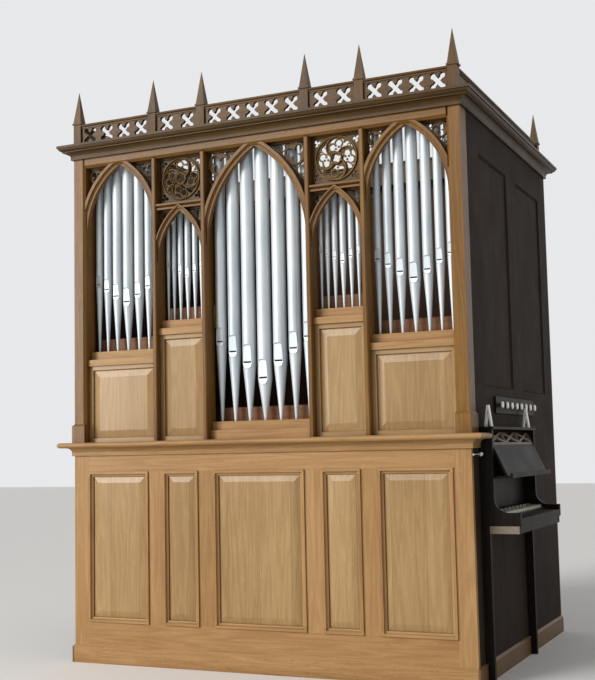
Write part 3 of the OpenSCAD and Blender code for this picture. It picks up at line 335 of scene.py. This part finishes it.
def tin(name, shade=1.0):
    """Burnished tin: a pale metal whose polish varies in long streaks down the pipe, with faint
    cloudy tarnish and specks, and painted shade in the mouths and other hollows; shade below 1
    darkens it all."""
    f = Finish(name)
    place = f.place()
    cloud = f.noise(f.stretched(place, (9.0, 9.0, 2.2)), detail=4.0, roughness=0.6)
    wiped = f.noise(f.stretched(place, (160.0, 160.0, 1.6)), detail=3.0)
    spots = f.noise(place, 85.0, detail=2.0).ramp(0.66, 0.74)
    colour = f.colours(cloud, (0.25, paint(178, 190, 197)), (0.5, paint(202, 210, 216)),
                       (0.75, paint(220, 224, 226)))
    colour = f.mix(spots * 0.12, colour, paint(150, 150, 142))
    # Painted shade: ambient occlusion darkens the mouths and other hollows towards a grey.
    hollow = f.crevice(0.05).ramp(0.05, 0.75, 0.55, 0.0)
    colour = f.mix(hollow, colour, paint(96, 96, 92))
    if shade < 1.0:
        colour = f.mix(1.0, colour, (shade, shade, shade, 1.0), how="MULTIPLY")
    relief = wiped * 0.4 + f.noise(f.stretched(place, (10.0, 10.0, 4.0)), detail=1.0)
    return f.surface(Base_Color=colour, Metallic=0.4,
                     Roughness=wiped * 0.08 + cloud * 0.12 + 0.42,
                     Normal=f.bump(relief, 0.15, 0.0006))


def lacquer(name, colour, second, rough=0.3, metal=0.0):
    """A smooth coat with clouds of a second tone, fine specks and handling marks in its polish."""
    f = Finish(name)
    place = f.place()
    cloud = f.noise(place, 26.0, detail=3.0)
    fine = f.noise(place, 240.0, detail=2.0)
    tone = f.mix(cloud.ramp(0.35, 0.7), colour, second)
    # Painted shade: ambient occlusion darkens corners narrower than 15 mm.
    tone = f.mix(f.crevice(0.015).ramp(0.1, 0.8, 0.5, 0.0), tone, darker(second, 0.35))
    return f.surface(Base_Color=tone, Metallic=metal,
                     Roughness=fine * 0.12 + cloud * 0.10 + (rough - 0.1),
                     Coat_Weight=0.2, Normal=f.bump(fine + cloud * 2.0, 0.12, 0.0003))


def knob_face(name, face_x):
    """A turned dark stem, with fine turning marks along x, and a pale face beyond x = face_x."""
    f = Finish(name)
    place = f.place()
    x = f.parts(place)[0]
    pale = x > face_x
    rings = f.noise(f.joined(x * 900.0, 0.0, 0.0), detail=1.0)
    cloud = f.noise(place, 60.0, detail=3.0)
    ivory = f.mix(cloud, paint(232, 228, 214), paint(250, 248, 240))
    ebony = f.mix(cloud, paint(30, 24, 20), paint(58, 46, 38))
    return f.surface(Base_Color=f.mix(pale, ebony, ivory), Roughness=cloud * 0.15 + 0.22,
                     Coat_Weight=0.3, Normal=f.bump(rings + cloud, 0.15, 0.0003))


# Runs that go round the case, dull unvarnished boards, the sides, whose SHADED tones are painted
# shade, and the keydesk, dark-stained and in painted shade
ROUND = {"along": "x", "crossed": level_runs, "cross_along": "y"}
DULL = {"gloss": 0.6, "coat": 0.0}
DARK_SIDE = {**DULL, "shine": 0.03}
KEYDESK = {"board": 0.25, "coat": 0.0, "shine": 0.06}

finishes = {
    "lower_frame": oak("lower_case_oak", HONEY, crossed=lower_rails, board=0.11, scuffs=0.2),
    "lower_moulding": oak("lower_moulding_oak", HONEY, crossed=moulding_rails, board=0.4),
    "lower_panel": oak("lower_panel_oak", PALE_HONEY, board=0.19, flecks=0.3, coat=0.3,
                       joints=0.35),
    # The plinth's faces along the sides take a darker tone: painted shade.
    "plinth": oak("plinth_oak", HONEY, scuffs=0.3, other=(side_run, paint(84, 60, 38)), **ROUND),
    "impost": oak("impost_oak", HONEY, board=0.4, **ROUND),
    "upper_panel": oak("upper_panel_oak", PALE_HONEY, crossed=upper_front_rails, board=0.21,
                       flecks=0.3, coat=0.4),
    "toe": oak("toe_board_oak", HONEY, along="x", board=0.3),
    "post": oak("post_oak", AMBER, board=0.3, coat=0.2),
    "arch": oak("arch_oak", AMBER, crossed=arch_rails, board=0.25, corner_shade=0.65, coat=0.2),
    "carved": oak("carved_oak", CARVED, board=0.2, corner_shade=0.8),
    "leaves": oak("leaf_oak", GILDED, board=0.2, corner_shade=0.8),
    # The cornice's faces along the sides take a darker tone: painted shade.
    "cornice": oak("cornice_oak", CROWN, board=0.4, corner_shade=0.65,
                   other=(side_run, paint(62, 46, 33)), **ROUND),
    "parapet": oak("parapet_oak", CARVED, along="x", board=0.3, corner_shade=0.8),
    "parapet_side": oak("side_parapet_oak", CARVED, along="y", board=0.3, corner_shade=0.7),
    "pinnacle": oak("pinnacle_oak", CARVED, board=0.3),
    # The sides wear SHADED: the oak in painted shade.
    "side": oak("side_oak", SHADED, board=0.17, scuffs=0.5, joints=0.5, **DARK_SIDE),
    "side_frame": oak("side_frame_oak", SHADED, crossed=side_rails, cross_along="y", board=0.3,
                      **DARK_SIDE),
    "back": oak("back_board_pine", INNER, board=0.22, joints=0.8, **DULL),
    "rack": oak("rack_board_pine", PINE, along="x", board=0.3, **DULL),
    "desk": oak("keydesk_oak", KEYDESK_STAIN_AND_SHADE, along="y", **KEYDESK),
    "music": oak("music_desk_oak", KEYDESK_STAIN_AND_SHADE, along="y", other=(fret_bars, FRET), **KEYDESK),
    "table": oak("key_table_oak", KEYDESK_STAIN_AND_SHADE, along="y", other=(under_rail, FRET), **KEYDESK),
    "cheek": oak("keydesk_cheek_oak", KEYDESK_STAIN_AND_SHADE, **KEYDESK),
    "tin": tin("pipe_tin"),
    # The lips' seams take the tin at 0.55: partly solder's duller tone, partly painted shade along
    # the edge of each lip.
    "seam": tin("pipe_seam_tin", 0.55),
    "ivory": lacquer("key_ivory", paint(226, 220, 200), paint(206, 194, 166)),
    "ebony": lacquer("key_ebony", paint(22, 19, 17), paint(40, 34, 30), rough=0.28),
    "white": lacquer("lamp_enamel", paint(246, 245, 240), paint(234, 232, 224), rough=0.26),
    "bright": lacquer("lamp_steel", paint(190, 192, 194), paint(160, 162, 162), rough=0.24,
                      metal=1.0),
    "knob": knob_face("stop_knob_finish", KNOB_FACE_X),
}

WORN_BY = {
    "plinth": "plinth", "lower_front_frame": "lower_frame", "lower_front_panels": "lower_panel",
    "lower_panel_mouldings": "lower_moulding", "lower_left_side": "side",
    "lower_right_side": "side", "back_wall": "back", "impost": "impost", "end_posts": "post",
    "mullions": "post",
    "tall_arches": "arch", "small_arches": "arch", "tracery": "carved", "toe_boards": "toe",
    "upper_front_panels": "upper_panel", "rack_boards": "rack", "upper_left_side": "side_frame",
    "upper_right_side": "side_frame", "side_panels": "side", "cornice": "cornice",
    "parapet_front": "parapet", "parapet_sides": "parapet_side", "pinnacles": "pinnacle",
    "keydesk_cheeks": "cheek", "key_table": "table", "natural_keys": "ivory", "sharp_keys": "ebony",
    "keydesk_boards": "desk", "music_desk": "music", "stop_jamb": "desk",
    "desk_lamps": "white", "arm_lamp": "bright",
}
WORN_BY.update({f"pipes_bay_{bay}": "tin" for bay in range(1, 6)})
WORN_BY.update({f"stop_{number}": "knob" for number in range(1, 9)})

for node_name, finish_name in WORN_BY.items():
    worn = nodes[node_name].data.materials
    worn.clear()
    worn.append(finishes[finish_name])


# Surfaces on a grid

def grid_faces(rows, columns, round_rows=False, round_columns=False, first=0):
    """Four-cornered faces between neighbours of a grid; a round direction closes on itself."""
    i = np.arange(rows if round_rows else rows - 1)[:, None]
    j = np.arange(columns if round_columns else columns - 1)[None, :]
    here = (i % rows) * columns + j % columns
    right = (i % rows) * columns + (j + 1) % columns
    above = ((i + 1) % rows) * columns + j % columns
    both = ((i + 1) % rows) * columns + (j + 1) % columns
    return first + np.stack([here, right, both, above], axis=-1).reshape(-1, 4)


def make_piece(name, sheets, finish, body="case", smooth=True):
    """One object from several grids, each a tuple of points (rows, columns, 3), round_rows and
    round_columns; round_rows "ends" shuts an open tube with a face at each end."""
    points, faces, lids, count = [], [], [], 0
    for grid, round_rows, round_columns in sheets:
        rows, columns = grid.shape[:2]
        points.append(grid.reshape(-1, 3))
        faces.append(grid_faces(rows, columns, round_rows is True, round_columns, count))
        if round_rows == "ends":
            lids.append((count + np.arange(columns)[::-1]).tolist())
            lids.append((count + (rows - 1) * columns + np.arange(columns)).tolist())
        count += rows * columns
    mesh = bpy.data.meshes.new(name)
    mesh.from_pydata(np.concatenate(points).tolist(), [], np.concatenate(faces).tolist() + lids)
    mesh.polygons.foreach_set("use_smooth", np.full(len(mesh.polygons), smooth))
    mesh.materials.append(finishes[finish])
    piece = bpy.data.objects.new(name, mesh)
    bpy.context.scene.collection.objects.link(piece)
    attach(piece, body)


def mitred_loop(corners, section, normal):
    """A moulding mitred round a rectangle. The point (i, j) is corner i, plus section x_j times
    the inward diagonal of that corner, plus section y_j times the normal."""
    corners = np.asarray(corners, float)
    section = np.asarray(section, float)
    after = np.roll(corners, -1, axis=0) - corners
    before = np.roll(corners, 1, axis=0) - corners
    diagonal = (after / np.linalg.norm(after, axis=1, keepdims=True)
                + before / np.linalg.norm(before, axis=1, keepdims=True))
    return (corners[:, None, :] + section[None, :, :1] * diagonal[:, None, :]
            + section[None, :, 1:] * np.asarray(normal, float))


def tube(path, radius, sides):
    """A round wire along a path. At each point a circle of that radius lies in the plane across
    the path: centre + r (cos t u + sin t v), where u and v are square to the path's direction."""
    ahead = np.gradient(path, axis=0)
    ahead /= np.linalg.norm(ahead, axis=1, keepdims=True)
    helper = np.where(np.abs(ahead[:, 1:2]) < 0.9, [[0.0, 1.0, 0.0]], [[1.0, 0.0, 0.0]])
    u = np.cross(helper, ahead)
    u /= np.linalg.norm(u, axis=1, keepdims=True)
    v = np.cross(ahead, u)
    turn = np.linspace(0, FULL_TURN, sides, endpoint=False)[None, :, None]
    circle = np.cos(turn) * u[:, None, :] + np.sin(turn) * v[:, None, :]
    return path[:, None, :] + radius * circle


# Thin beads round the recessed panels of the upper sides

SIDE_RECESS = 0.009
BEAD_W, BEAD_H = 0.010, 0.007

def bead_section(width, height, steps=7):
    """A half-round bead: a half circle stretched to that width and height, with a flat back."""
    t = np.linspace(0, math.pi, steps)
    return np.stack([width / 2 * (1 - np.cos(t)), height * np.sin(t)], axis=1)


def side_beads():
    """Four beads, one against the frame's edge round each upper side panel."""
    foot, head, sheets = SIDE_PANEL_FOOT, SIDE_PANEL_TOP, []
    section = bead_section(BEAD_W, BEAD_H)[::-1]
    for side in (-1, 1):
        face = side * (HALF_W - SIDE_RECESS)
        for start in SIDE_PANEL_STARTS:
            end = start + SIDE_PANEL_W
            corners = [(face, start, foot), (face, end, foot), (face, end, head),
                       (face, start, head)][::side]
            sheets.append((mitred_loop(corners, section, (side, 0, 0)), True, True))
    make_piece("side_panel_beads", sheets, "side", smooth=False)


# Carved work in the pierced boards: rounded bars and beads on arcs in the boards' own plane

BOARD_Y, BOARD_T, LINE_T = 0.050, 0.014, 0.007
MIDDLE_Y, FACE_Y = BOARD_Y + BOARD_T / 2, BOARD_Y - LINE_T
WHEEL_Z, WHEEL_R, RIM_W, RIB_W, EYE_LINE = 2.767, 0.125, 0.015, 0.013, 0.031
WHEEL_XS = (-0.4865, 0.4865)
RIB_R = (WHEEL_R - RIM_W / 2) / 2 - 0.002
RIB_X = WHEEL_R - RIM_W / 2 - RIB_R
FRIEZE_Z, BORDER_W, BAR_W = 2.897, 0.010, 0.009
POLE, SQUEEZE = 0.08, 0.8

# Beads round a wheel: radius, half thickness and y
WHEEL_BEADS = ((WHEEL_R - 0.004, 0.0032, FACE_Y), (WHEEL_R - RIM_W + 0.0025, 0.0026, BOARD_Y),
               (EYE_LINE, 0.0028, FACE_Y), (EYE_LINE - 0.0055, 0.0022, BOARD_Y))

# The trefoil in the first cell of a wheel: its middle, its lobes' radius, distance and half
# angle, and its buds' distance, radius and y; then the distance, angle and radius of the ring
# in the cell's tail
CELL_MIDDLE = np.array([0.0615, -0.0010])
LOBE_R, LOBE_OUT, LOBE_HALF = 0.0215, 0.0245, 122
WHEEL_BUD_OUT, WHEEL_BUD_R, WHEEL_BUD_Y = 0.0115, 0.0072, MIDDLE_Y - 0.002
TAIL_OUT, TAIL_ANGLE, TAIL_R = 0.0995, -47, 0.0078


def arc(centre, radius, start, end, steps=20):
    """Points on an arc in the board's plane: centre + r (cos t, sin t), t from start to end."""
    t = np.radians(np.linspace(start, end, steps))
    return np.stack([centre[0] + radius * np.cos(t), centre[1] + radius * np.sin(t)], axis=1)


def turned(points, angle, mirrored=False):
    """Points turned about the origin by that angle, and mirrored left to right afterwards."""
    c, s = math.cos(math.radians(angle)), math.sin(math.radians(angle))
    points = points @ np.array([[c, s], [-s, c]])
    return points * [-1, 1] if mirrored else points


def ring_of(centre, radius, steps):
    """Points round a full circle, without the last one that would repeat the first."""
    return arc(centre, radius, 0, 360, steps)[:-1]


def carved(points, place, wide, deep, y, closed=False, sides=8):
    """A rounded bar carried along a path (x, z): P(s, t) = path(s) + wide cos t n(s)
    + deep sin t b, where n is the path's normal in the board's plane and b points into it."""
    if closed:
        ahead = np.roll(points, -1, axis=0) - np.roll(points, 1, axis=0)
    else:
        ahead = np.gradient(points, axis=0)
    normal = np.stack([ahead[:, 1], -ahead[:, 0]], axis=1)
    normal /= np.linalg.norm(normal, axis=1, keepdims=True)
    t = np.linspace(0, FULL_TURN, sides, endpoint=False)
    across = points[:, None, :] + wide * np.cos(t)[None, :, None] * normal[:, None, :]
    depth = np.broadcast_to(y + deep * np.sin(t)[None, :], across.shape[:2])
    grid = np.stack([across[..., 0] + place[0], depth, across[..., 1] + place[1]], axis=-1)
    return (grid, True if closed else "ends", True)


def bud(place, radius, y, rows=6, columns=10):
    """A small rounded bud: a sphere squeezed in depth, with both poles nearly shut."""
    turn = np.linspace(0, FULL_TURN, columns, endpoint=False)[None, :]
    lift = np.linspace(POLE, math.pi - POLE, rows)[:, None]
    grid = np.stack([place[0] + radius * np.sin(lift) * np.cos(turn),
                     y + 0 * turn + radius * np.cos(lift) * SQUEEZE,
                     place[1] + radius * np.sin(lift) * np.sin(turn)], axis=-1)
    return (grid, "ends", True)


def wheel_carving():
    """Beads on the rims, eyes and ribs of both wheels. Each of a wheel's four cells has a trefoil
    of three arcs that meet in points, with a bud on each point, and a small ring in its tail."""
    sheets = []
    tail_centre = turned(np.array([[TAIL_OUT, 0.0]]), TAIL_ANGLE)[0]
    for wheel_x in WHEEL_XS:
        place, mirrored = (wheel_x, WHEEL_Z), wheel_x < 0
        for radius, wide, y in WHEEL_BEADS:
            ring = ring_of((0, 0), radius, 73)
            sheets.append(carved(ring, place, wide, wide, y, closed=True))
        for angle in (0, 90, 180, 270):
            rib = turned(arc((RIB_X, 0), RIB_R, 4, 150, 30), angle, mirrored)
            sheets.append(carved(rib, place, 0.0027, 0.0030, FACE_Y))
            edge = turned(arc((RIB_X, 0), RIB_R - RIB_W / 2 + 0.0015, 8, 152, 30), angle, mirrored)
            sheets.append(carved(edge, place, 0.0020, 0.0022, BOARD_Y))
            for way in (90, 210, 330):
                out = np.array([math.cos(math.radians(way)), math.sin(math.radians(way))])
                foil = arc(CELL_MIDDLE + LOBE_OUT * out, LOBE_R, way - LOBE_HALF, way + LOBE_HALF,
                           22)
                foil = turned(foil, angle, mirrored)
                sheets.append(carved(foil, place, 0.0050, 0.0060, MIDDLE_Y))
                tip = turned((CELL_MIDDLE - WHEEL_BUD_OUT * out)[None, :], angle, mirrored)[0]
                tip = (tip[0] + place[0], tip[1] + place[1])
                sheets.append(bud(tip, WHEEL_BUD_R, WHEEL_BUD_Y))
            tail = turned(ring_of(tail_centre, TAIL_R, 25), angle, mirrored)
            sheets.append(carved(tail, place, 0.0024, 0.0050, MIDDLE_Y, closed=True))
    make_piece("wheel_carving", sheets, "leaves")


# The arch's own line stands this far inside its bay; the buds of a corner foil stand at this
# share of its radius from its middle, and have this radius and y
ARCH_GAP = 0.004
FOIL_BUD_OUT, FOIL_BUD_R, FOIL_BUD_Y = 0.33, 0.0048, BOARD_Y + 0.001


def foils_over_arch(middle, bay, spring, crown, head, band, lows, highs, foiled):
    """Rings in the narrow cells beside an arch. A ring of radius p at the side has its centre at
    x = side - p, and so far up that its distance from the centre of the arch's own circle is
    R + band + bar + p; one along the head has z = head - p and is solved for x the same way.
    The ring in the corner touches side, head and band: p = t - sqrt(t^2 - a^2 - c^2 + S^2),
    where S is the radius outside the band, a and c are the distances of side and head from that
    centre, and t = a + c + S."""
    half = bay / 2 - ARCH_GAP
    rise = crown - spring
    arch = (half * half + rise * rise) / (2 * half)
    origin = half - arch
    side, top = bay / 2 - BORDER_W, head - BORDER_W - spring
    sheets, rings = [], []
    for size in lows:
        reach = arch + band + BAR_W + size
        rings.append((side - size, math.sqrt(reach ** 2 - (side - size - origin) ** 2), size))
    for size in highs:
        reach = arch + band + BAR_W + size
        rings.append((origin + math.sqrt(reach ** 2 - (top - size) ** 2), top - size, size))
    outer = arch + band + (0.0 if foiled else BAR_W)
    total = side - origin + top + outer
    size = total - math.sqrt(total ** 2 - (side - origin) ** 2 - top ** 2 + outer ** 2)
    if not foiled:
        rings.append((side - size, top - size, size))
    for sign in (-1, 1):
        for x, z, radius in rings:
            ring = ring_of((sign * x, z), radius - 0.0012, 29)
            sheets.append(carved(ring, (middle, spring), 0.0027, 0.0052, MIDDLE_Y, closed=True))
        if foiled:
            centre = (sign * (side - size), top - size)
            ring = ring_of(centre, size - 0.001, 49)
            sheets.append(carved(ring, (middle, spring), 0.0026, 0.0030, BOARD_Y, closed=True))
            for way in (105, 225, 345):
                x, z = math.cos(math.radians(way)), math.sin(math.radians(way))
                tip = (middle + centre[0] + sign * FOIL_BUD_OUT * size * x,
                       spring + centre[1] + FOIL_BUD_OUT * size * z)
                sheets.append(bud(tip, FOIL_BUD_R, FOIL_BUD_Y))
    return sheets


# Each kind of arch: width of its bay, spring, crown, head of its spandrels, width of its band,
# radii of the rings up the side and along the head, and whether the corner has a foil
END_ARCH = (0.464, 2.508, 2.895, FRIEZE_Z, 0.040, (0.0155, 0.0093, 0.0056), (0.0125, 0.0059),
            True)
MIDDLE_ARCH = (0.624, 2.355, 2.895, FRIEZE_Z, 0.040, (0.027, 0.016, 0.0095), (0.022, 0.0098),
               True)
SMALL_ARCH = (0.297, 2.293, 2.577, TRANSOM_Z[0], 0.030, (0.0095,), (0.0085,), False)
ARCHES = ((-0.893, END_ARCH), (0.893, END_ARCH), (0.0, MIDDLE_ARCH),
          *((middle, SMALL_ARCH) for middle in WHEEL_XS))


def spandrel_carving():
    """Rings and buds over the three tall arches, and small rings over the two small ones."""
    sheets = sum((foils_over_arch(middle, *kind) for middle, kind in ARCHES), [])
    make_piece("spandrel_carving", sheets, "leaves")


# Soldered edges of the pipes' lips

# The y of the pipes' axes, the radius of the widest pipe and of its foot's tip; then the lips'
# sizes and how deep they are pressed in, as shares of the pipe's diameter; then the seams' radius
PIPE_Y, WIDEST_R, TIP = 0.112, 0.040, 0.008
LIP_RISE, LIP_DROP, LIP_W, LIP_ARC, CUT_UP = 1.35, 0.40, 0.70, 0.42, 0.13
LIP_DEPTH, LIP_END = 0.16, 0.09
SEAM_SHARE, SEAM_LEAST, SEAM_SIDES = 0.009, 0.0003, 6
GAPS_IN_HALF = 3.5

# Diameters and mouth heights from the middle pipe outwards, in mm, and the height of the feet
# in metres
END_PIPES = ((64, 56, 48, 42), (2080, 2119, 2164, 2198), 1.793)
NARROW_PIPES = ((35, 31, 26, 22), (2208, 2232, 2252, 2273), 1.950)
MIDDLE_PIPES = ((80, 77, 71, 62), (1589, 1680, 1745, 1806), 1.358)
BAYS = ((-1.125, -0.661, END_PIPES), (-0.635, -0.338, NARROW_PIPES),
        (-0.312, 0.312, MIDDLE_PIPES), (0.338, 0.635, NARROW_PIPES), (0.661, 1.125, END_PIPES))


def pipes_of(bay):
    """Centre x, diameter, mouth height and foot height of the seven pipes of a bay. Half a bay
    holds half of the middle pipe, three more pipes and as many gaps as GAPS_IN_HALF says."""
    left, right, (sizes, mouths, foot) = BAYS[bay]
    d = np.array(sizes) * MM
    gap = ((right - left) / 2 - (d[0] / 2 + d[1:].sum())) / GAPS_IN_HALF
    out = np.concatenate([[0.0], np.cumsum((d[:-1] + d[1:]) / 2 + gap)])
    return [((left + right) / 2 + sign * out[n], d[n], mouths[n] * MM, foot)
            for n in range(4) for sign in ((1,) if n == 0 else (-1, 1))]


def lip_edges(x, d, mouth, foot):
    """The edges of a pipe's two flattened lips, each two straight sides and an arc over its end.
    Seen from the front the outline is (u, v); each point lies sqrt(R(z)^2 - u^2) in front of the
    pipe's axis, where R is the radius of the cylinder above the mouth, or of the foot's cone
    below it. Where the flat is narrower than the outline, u stops at sqrt(R(z)^2 - p(z)^2), with
    p the flat's distance from the axis."""
    r = d / 2
    tip = TIP * (0.4 + 0.6 * r / WIDEST_R)
    half, bow = LIP_W * d / 2, LIP_ARC * d
    turn = np.linspace(-math.asin(half / bow), math.asin(half / bow), 17)
    edges = []
    for start, height, way in ((mouth + CUT_UP * d, LIP_RISE * d, 1), (mouth, LIP_DROP * d, -1)):
        crown = mouth + way * (height - bow)
        shoulder = crown + way * bow * math.cos(turn[0])
        side = np.linspace(start, shoulder, 7)[:-1]
        u = np.concatenate([np.full(6, -half), bow * np.sin(turn), np.full(6, half)])
        v = np.concatenate([side, crown + way * bow * np.cos(turn), side[::-1]])
        radius = np.where(v < mouth, r - (r - tip) * (mouth - v) / (mouth - foot), r)
        plane = r - d * (LIP_DEPTH + (LIP_END - LIP_DEPTH) * np.abs(v - mouth) / height)
        reach = np.sqrt(np.maximum(radius ** 2 - plane ** 2, 0.0))
        u = np.clip(u, -reach, reach)
        edges.append(np.stack([x + u, PIPE_Y - np.sqrt(radius ** 2 - u ** 2), v], axis=1))
    return edges


def pipe_lips(bay):
    """Thin raised seams along the lips of one bay's pipes."""
    sheets = []
    for x, d, mouth, foot in pipes_of(bay):
        for edge in lip_edges(x, d, mouth, foot):
            sheets.append((tube(edge, SEAM_SHARE * d + SEAM_LEAST, SEAM_SIDES), "ends", True))
    make_piece(f"pipe_lips_bay_{bay + 1}", sheets, "seam")


side_beads()
wheel_carving()
spandrel_carving()
for number in range(len(BAYS)):
    pipe_lips(number)


# Studio

FLOOR_TONE = (0.84, 0.835, 0.83, 1.0)
FLOOR_REACH = 30


def stage_piece(name, corners, shade):
    """A flat stage surface that shows as a plain pale tone and still takes the object's shadow."""
    f = Finish(name)
    seen = f.node("ShaderNodeLightPath", output="Is Camera Ray")
    f.surface(Base_Color=f.mix(seen, shade, FLOOR_TONE), Roughness=0.9)
    mesh = bpy.data.meshes.new(name)
    mesh.from_pydata(corners, [], [(0, 1, 2, 3)])
    mesh.materials.append(f.material)
    made = bpy.data.objects.new(name, mesh)
    bpy.context.scene.collection.objects.link(made)


floor_corners = [(x * FLOOR_REACH, y * FLOOR_REACH, 0)
                 for x, y in ((-1, -1), (1, -1), (1, 1), (-1, 1))]
stage_piece("studio_floor", floor_corners, paint(226, 224, 221))


def lamp(name, kind, energy, place, aim, colour, **settings):
    """A lamp at a place, aimed at a point."""
    data = bpy.data.lights.new(name, kind)
    data.energy = energy
    data.color = colour
    for setting, value in settings.items():
        setattr(data, setting, value)
    made = bpy.data.objects.new(name, data)
    made.location = place
    made.rotation_euler = (Vector(aim) - Vector(place)).to_track_quat("-Z", "Y").to_euler()
    bpy.context.scene.collection.objects.link(made)


lamp("key_lamp", "SUN", 1.95, (-5, -8, 5.5), (0, 0, 1.3), (1.0, 0.975, 0.94),
     angle=math.radians(25))
lamp("fill_lamp", "AREA", 25, (3.0, -8, 2.0), (0, 0, 1.5), (1.0, 0.98, 0.96), shape="SQUARE",
     size=4.0)
lamp("window_lamp", "AREA", 150, (-4.9, -4.9, 2.4), (0, 0, 1.5), (1.0, 0.99, 0.97),
     shape="RECTANGLE", size=1.4, size_y=2.8)

world = bpy.data.worlds.new("studio")
bpy.context.scene.world = world
world.use_nodes = True
air = world.node_tree
air.nodes.clear()
path = air.nodes.new("ShaderNodeLightPath")
seen = air.nodes.new("ShaderNodeMath")
seen.operation = "MAXIMUM"
air.links.new(path.outputs["Is Camera Ray"], seen.inputs[0])
air.links.new(path.outputs["Is Glossy Ray"], seen.inputs[1])
backs = []
LIGHT_OF_ROOM, SEEN_BACKDROP = ((0.96, 0.95, 0.93, 1), 0.42), ((0.80, 0.81, 0.82, 1), 1.0)
for colour, strength in (LIGHT_OF_ROOM, SEEN_BACKDROP):
    back = air.nodes.new("ShaderNodeBackground")
    back.inputs["Color"].default_value = colour
    back.inputs["Strength"].default_value = strength
    backs.append(back)
chosen = air.nodes.new("ShaderNodeMixShader")
air.links.new(seen.outputs[0], chosen.inputs[0])
for socket, back in enumerate(backs):
    air.links.new(back.outputs[0], chosen.inputs[socket + 1])
air.links.new(chosen.outputs[0], air.nodes.new("ShaderNodeOutputWorld").inputs[0])

bpy.context.scene.view_settings.view_transform = "Standard"

# Camera: its right, up and backward directions are the columns of its rotation
SENSOR_H, FOCAL_PIXELS, PHOTO_H = 36.0, 1164.5, 680
camera_data = bpy.data.cameras.new("photo_view")
camera_data.sensor_fit = "VERTICAL"
camera_data.sensor_height = SENSOR_H
camera_data.lens = FOCAL_PIXELS * SENSOR_H / PHOTO_H
camera_data.clip_end = 200
camera = bpy.data.objects.new("photo_view", camera_data)
right = Vector((0.90815, 0.41812, -0.02085)).normalized()
up = Vector((0.05800, -0.07635, 0.99540))
up = (up - up.dot(right) * right).normalized()
back_way = right.cross(up)
turn = Matrix((right, up, back_way)).transposed().to_4x4()
camera.matrix_world = Matrix.Translation((2.8632, -5.6976, 1.1933)) @ turn
bpy.context.scene.collection.objects.link(camera)
bpy.context.scene.camera = camera

bpy.context.view_layer.update()
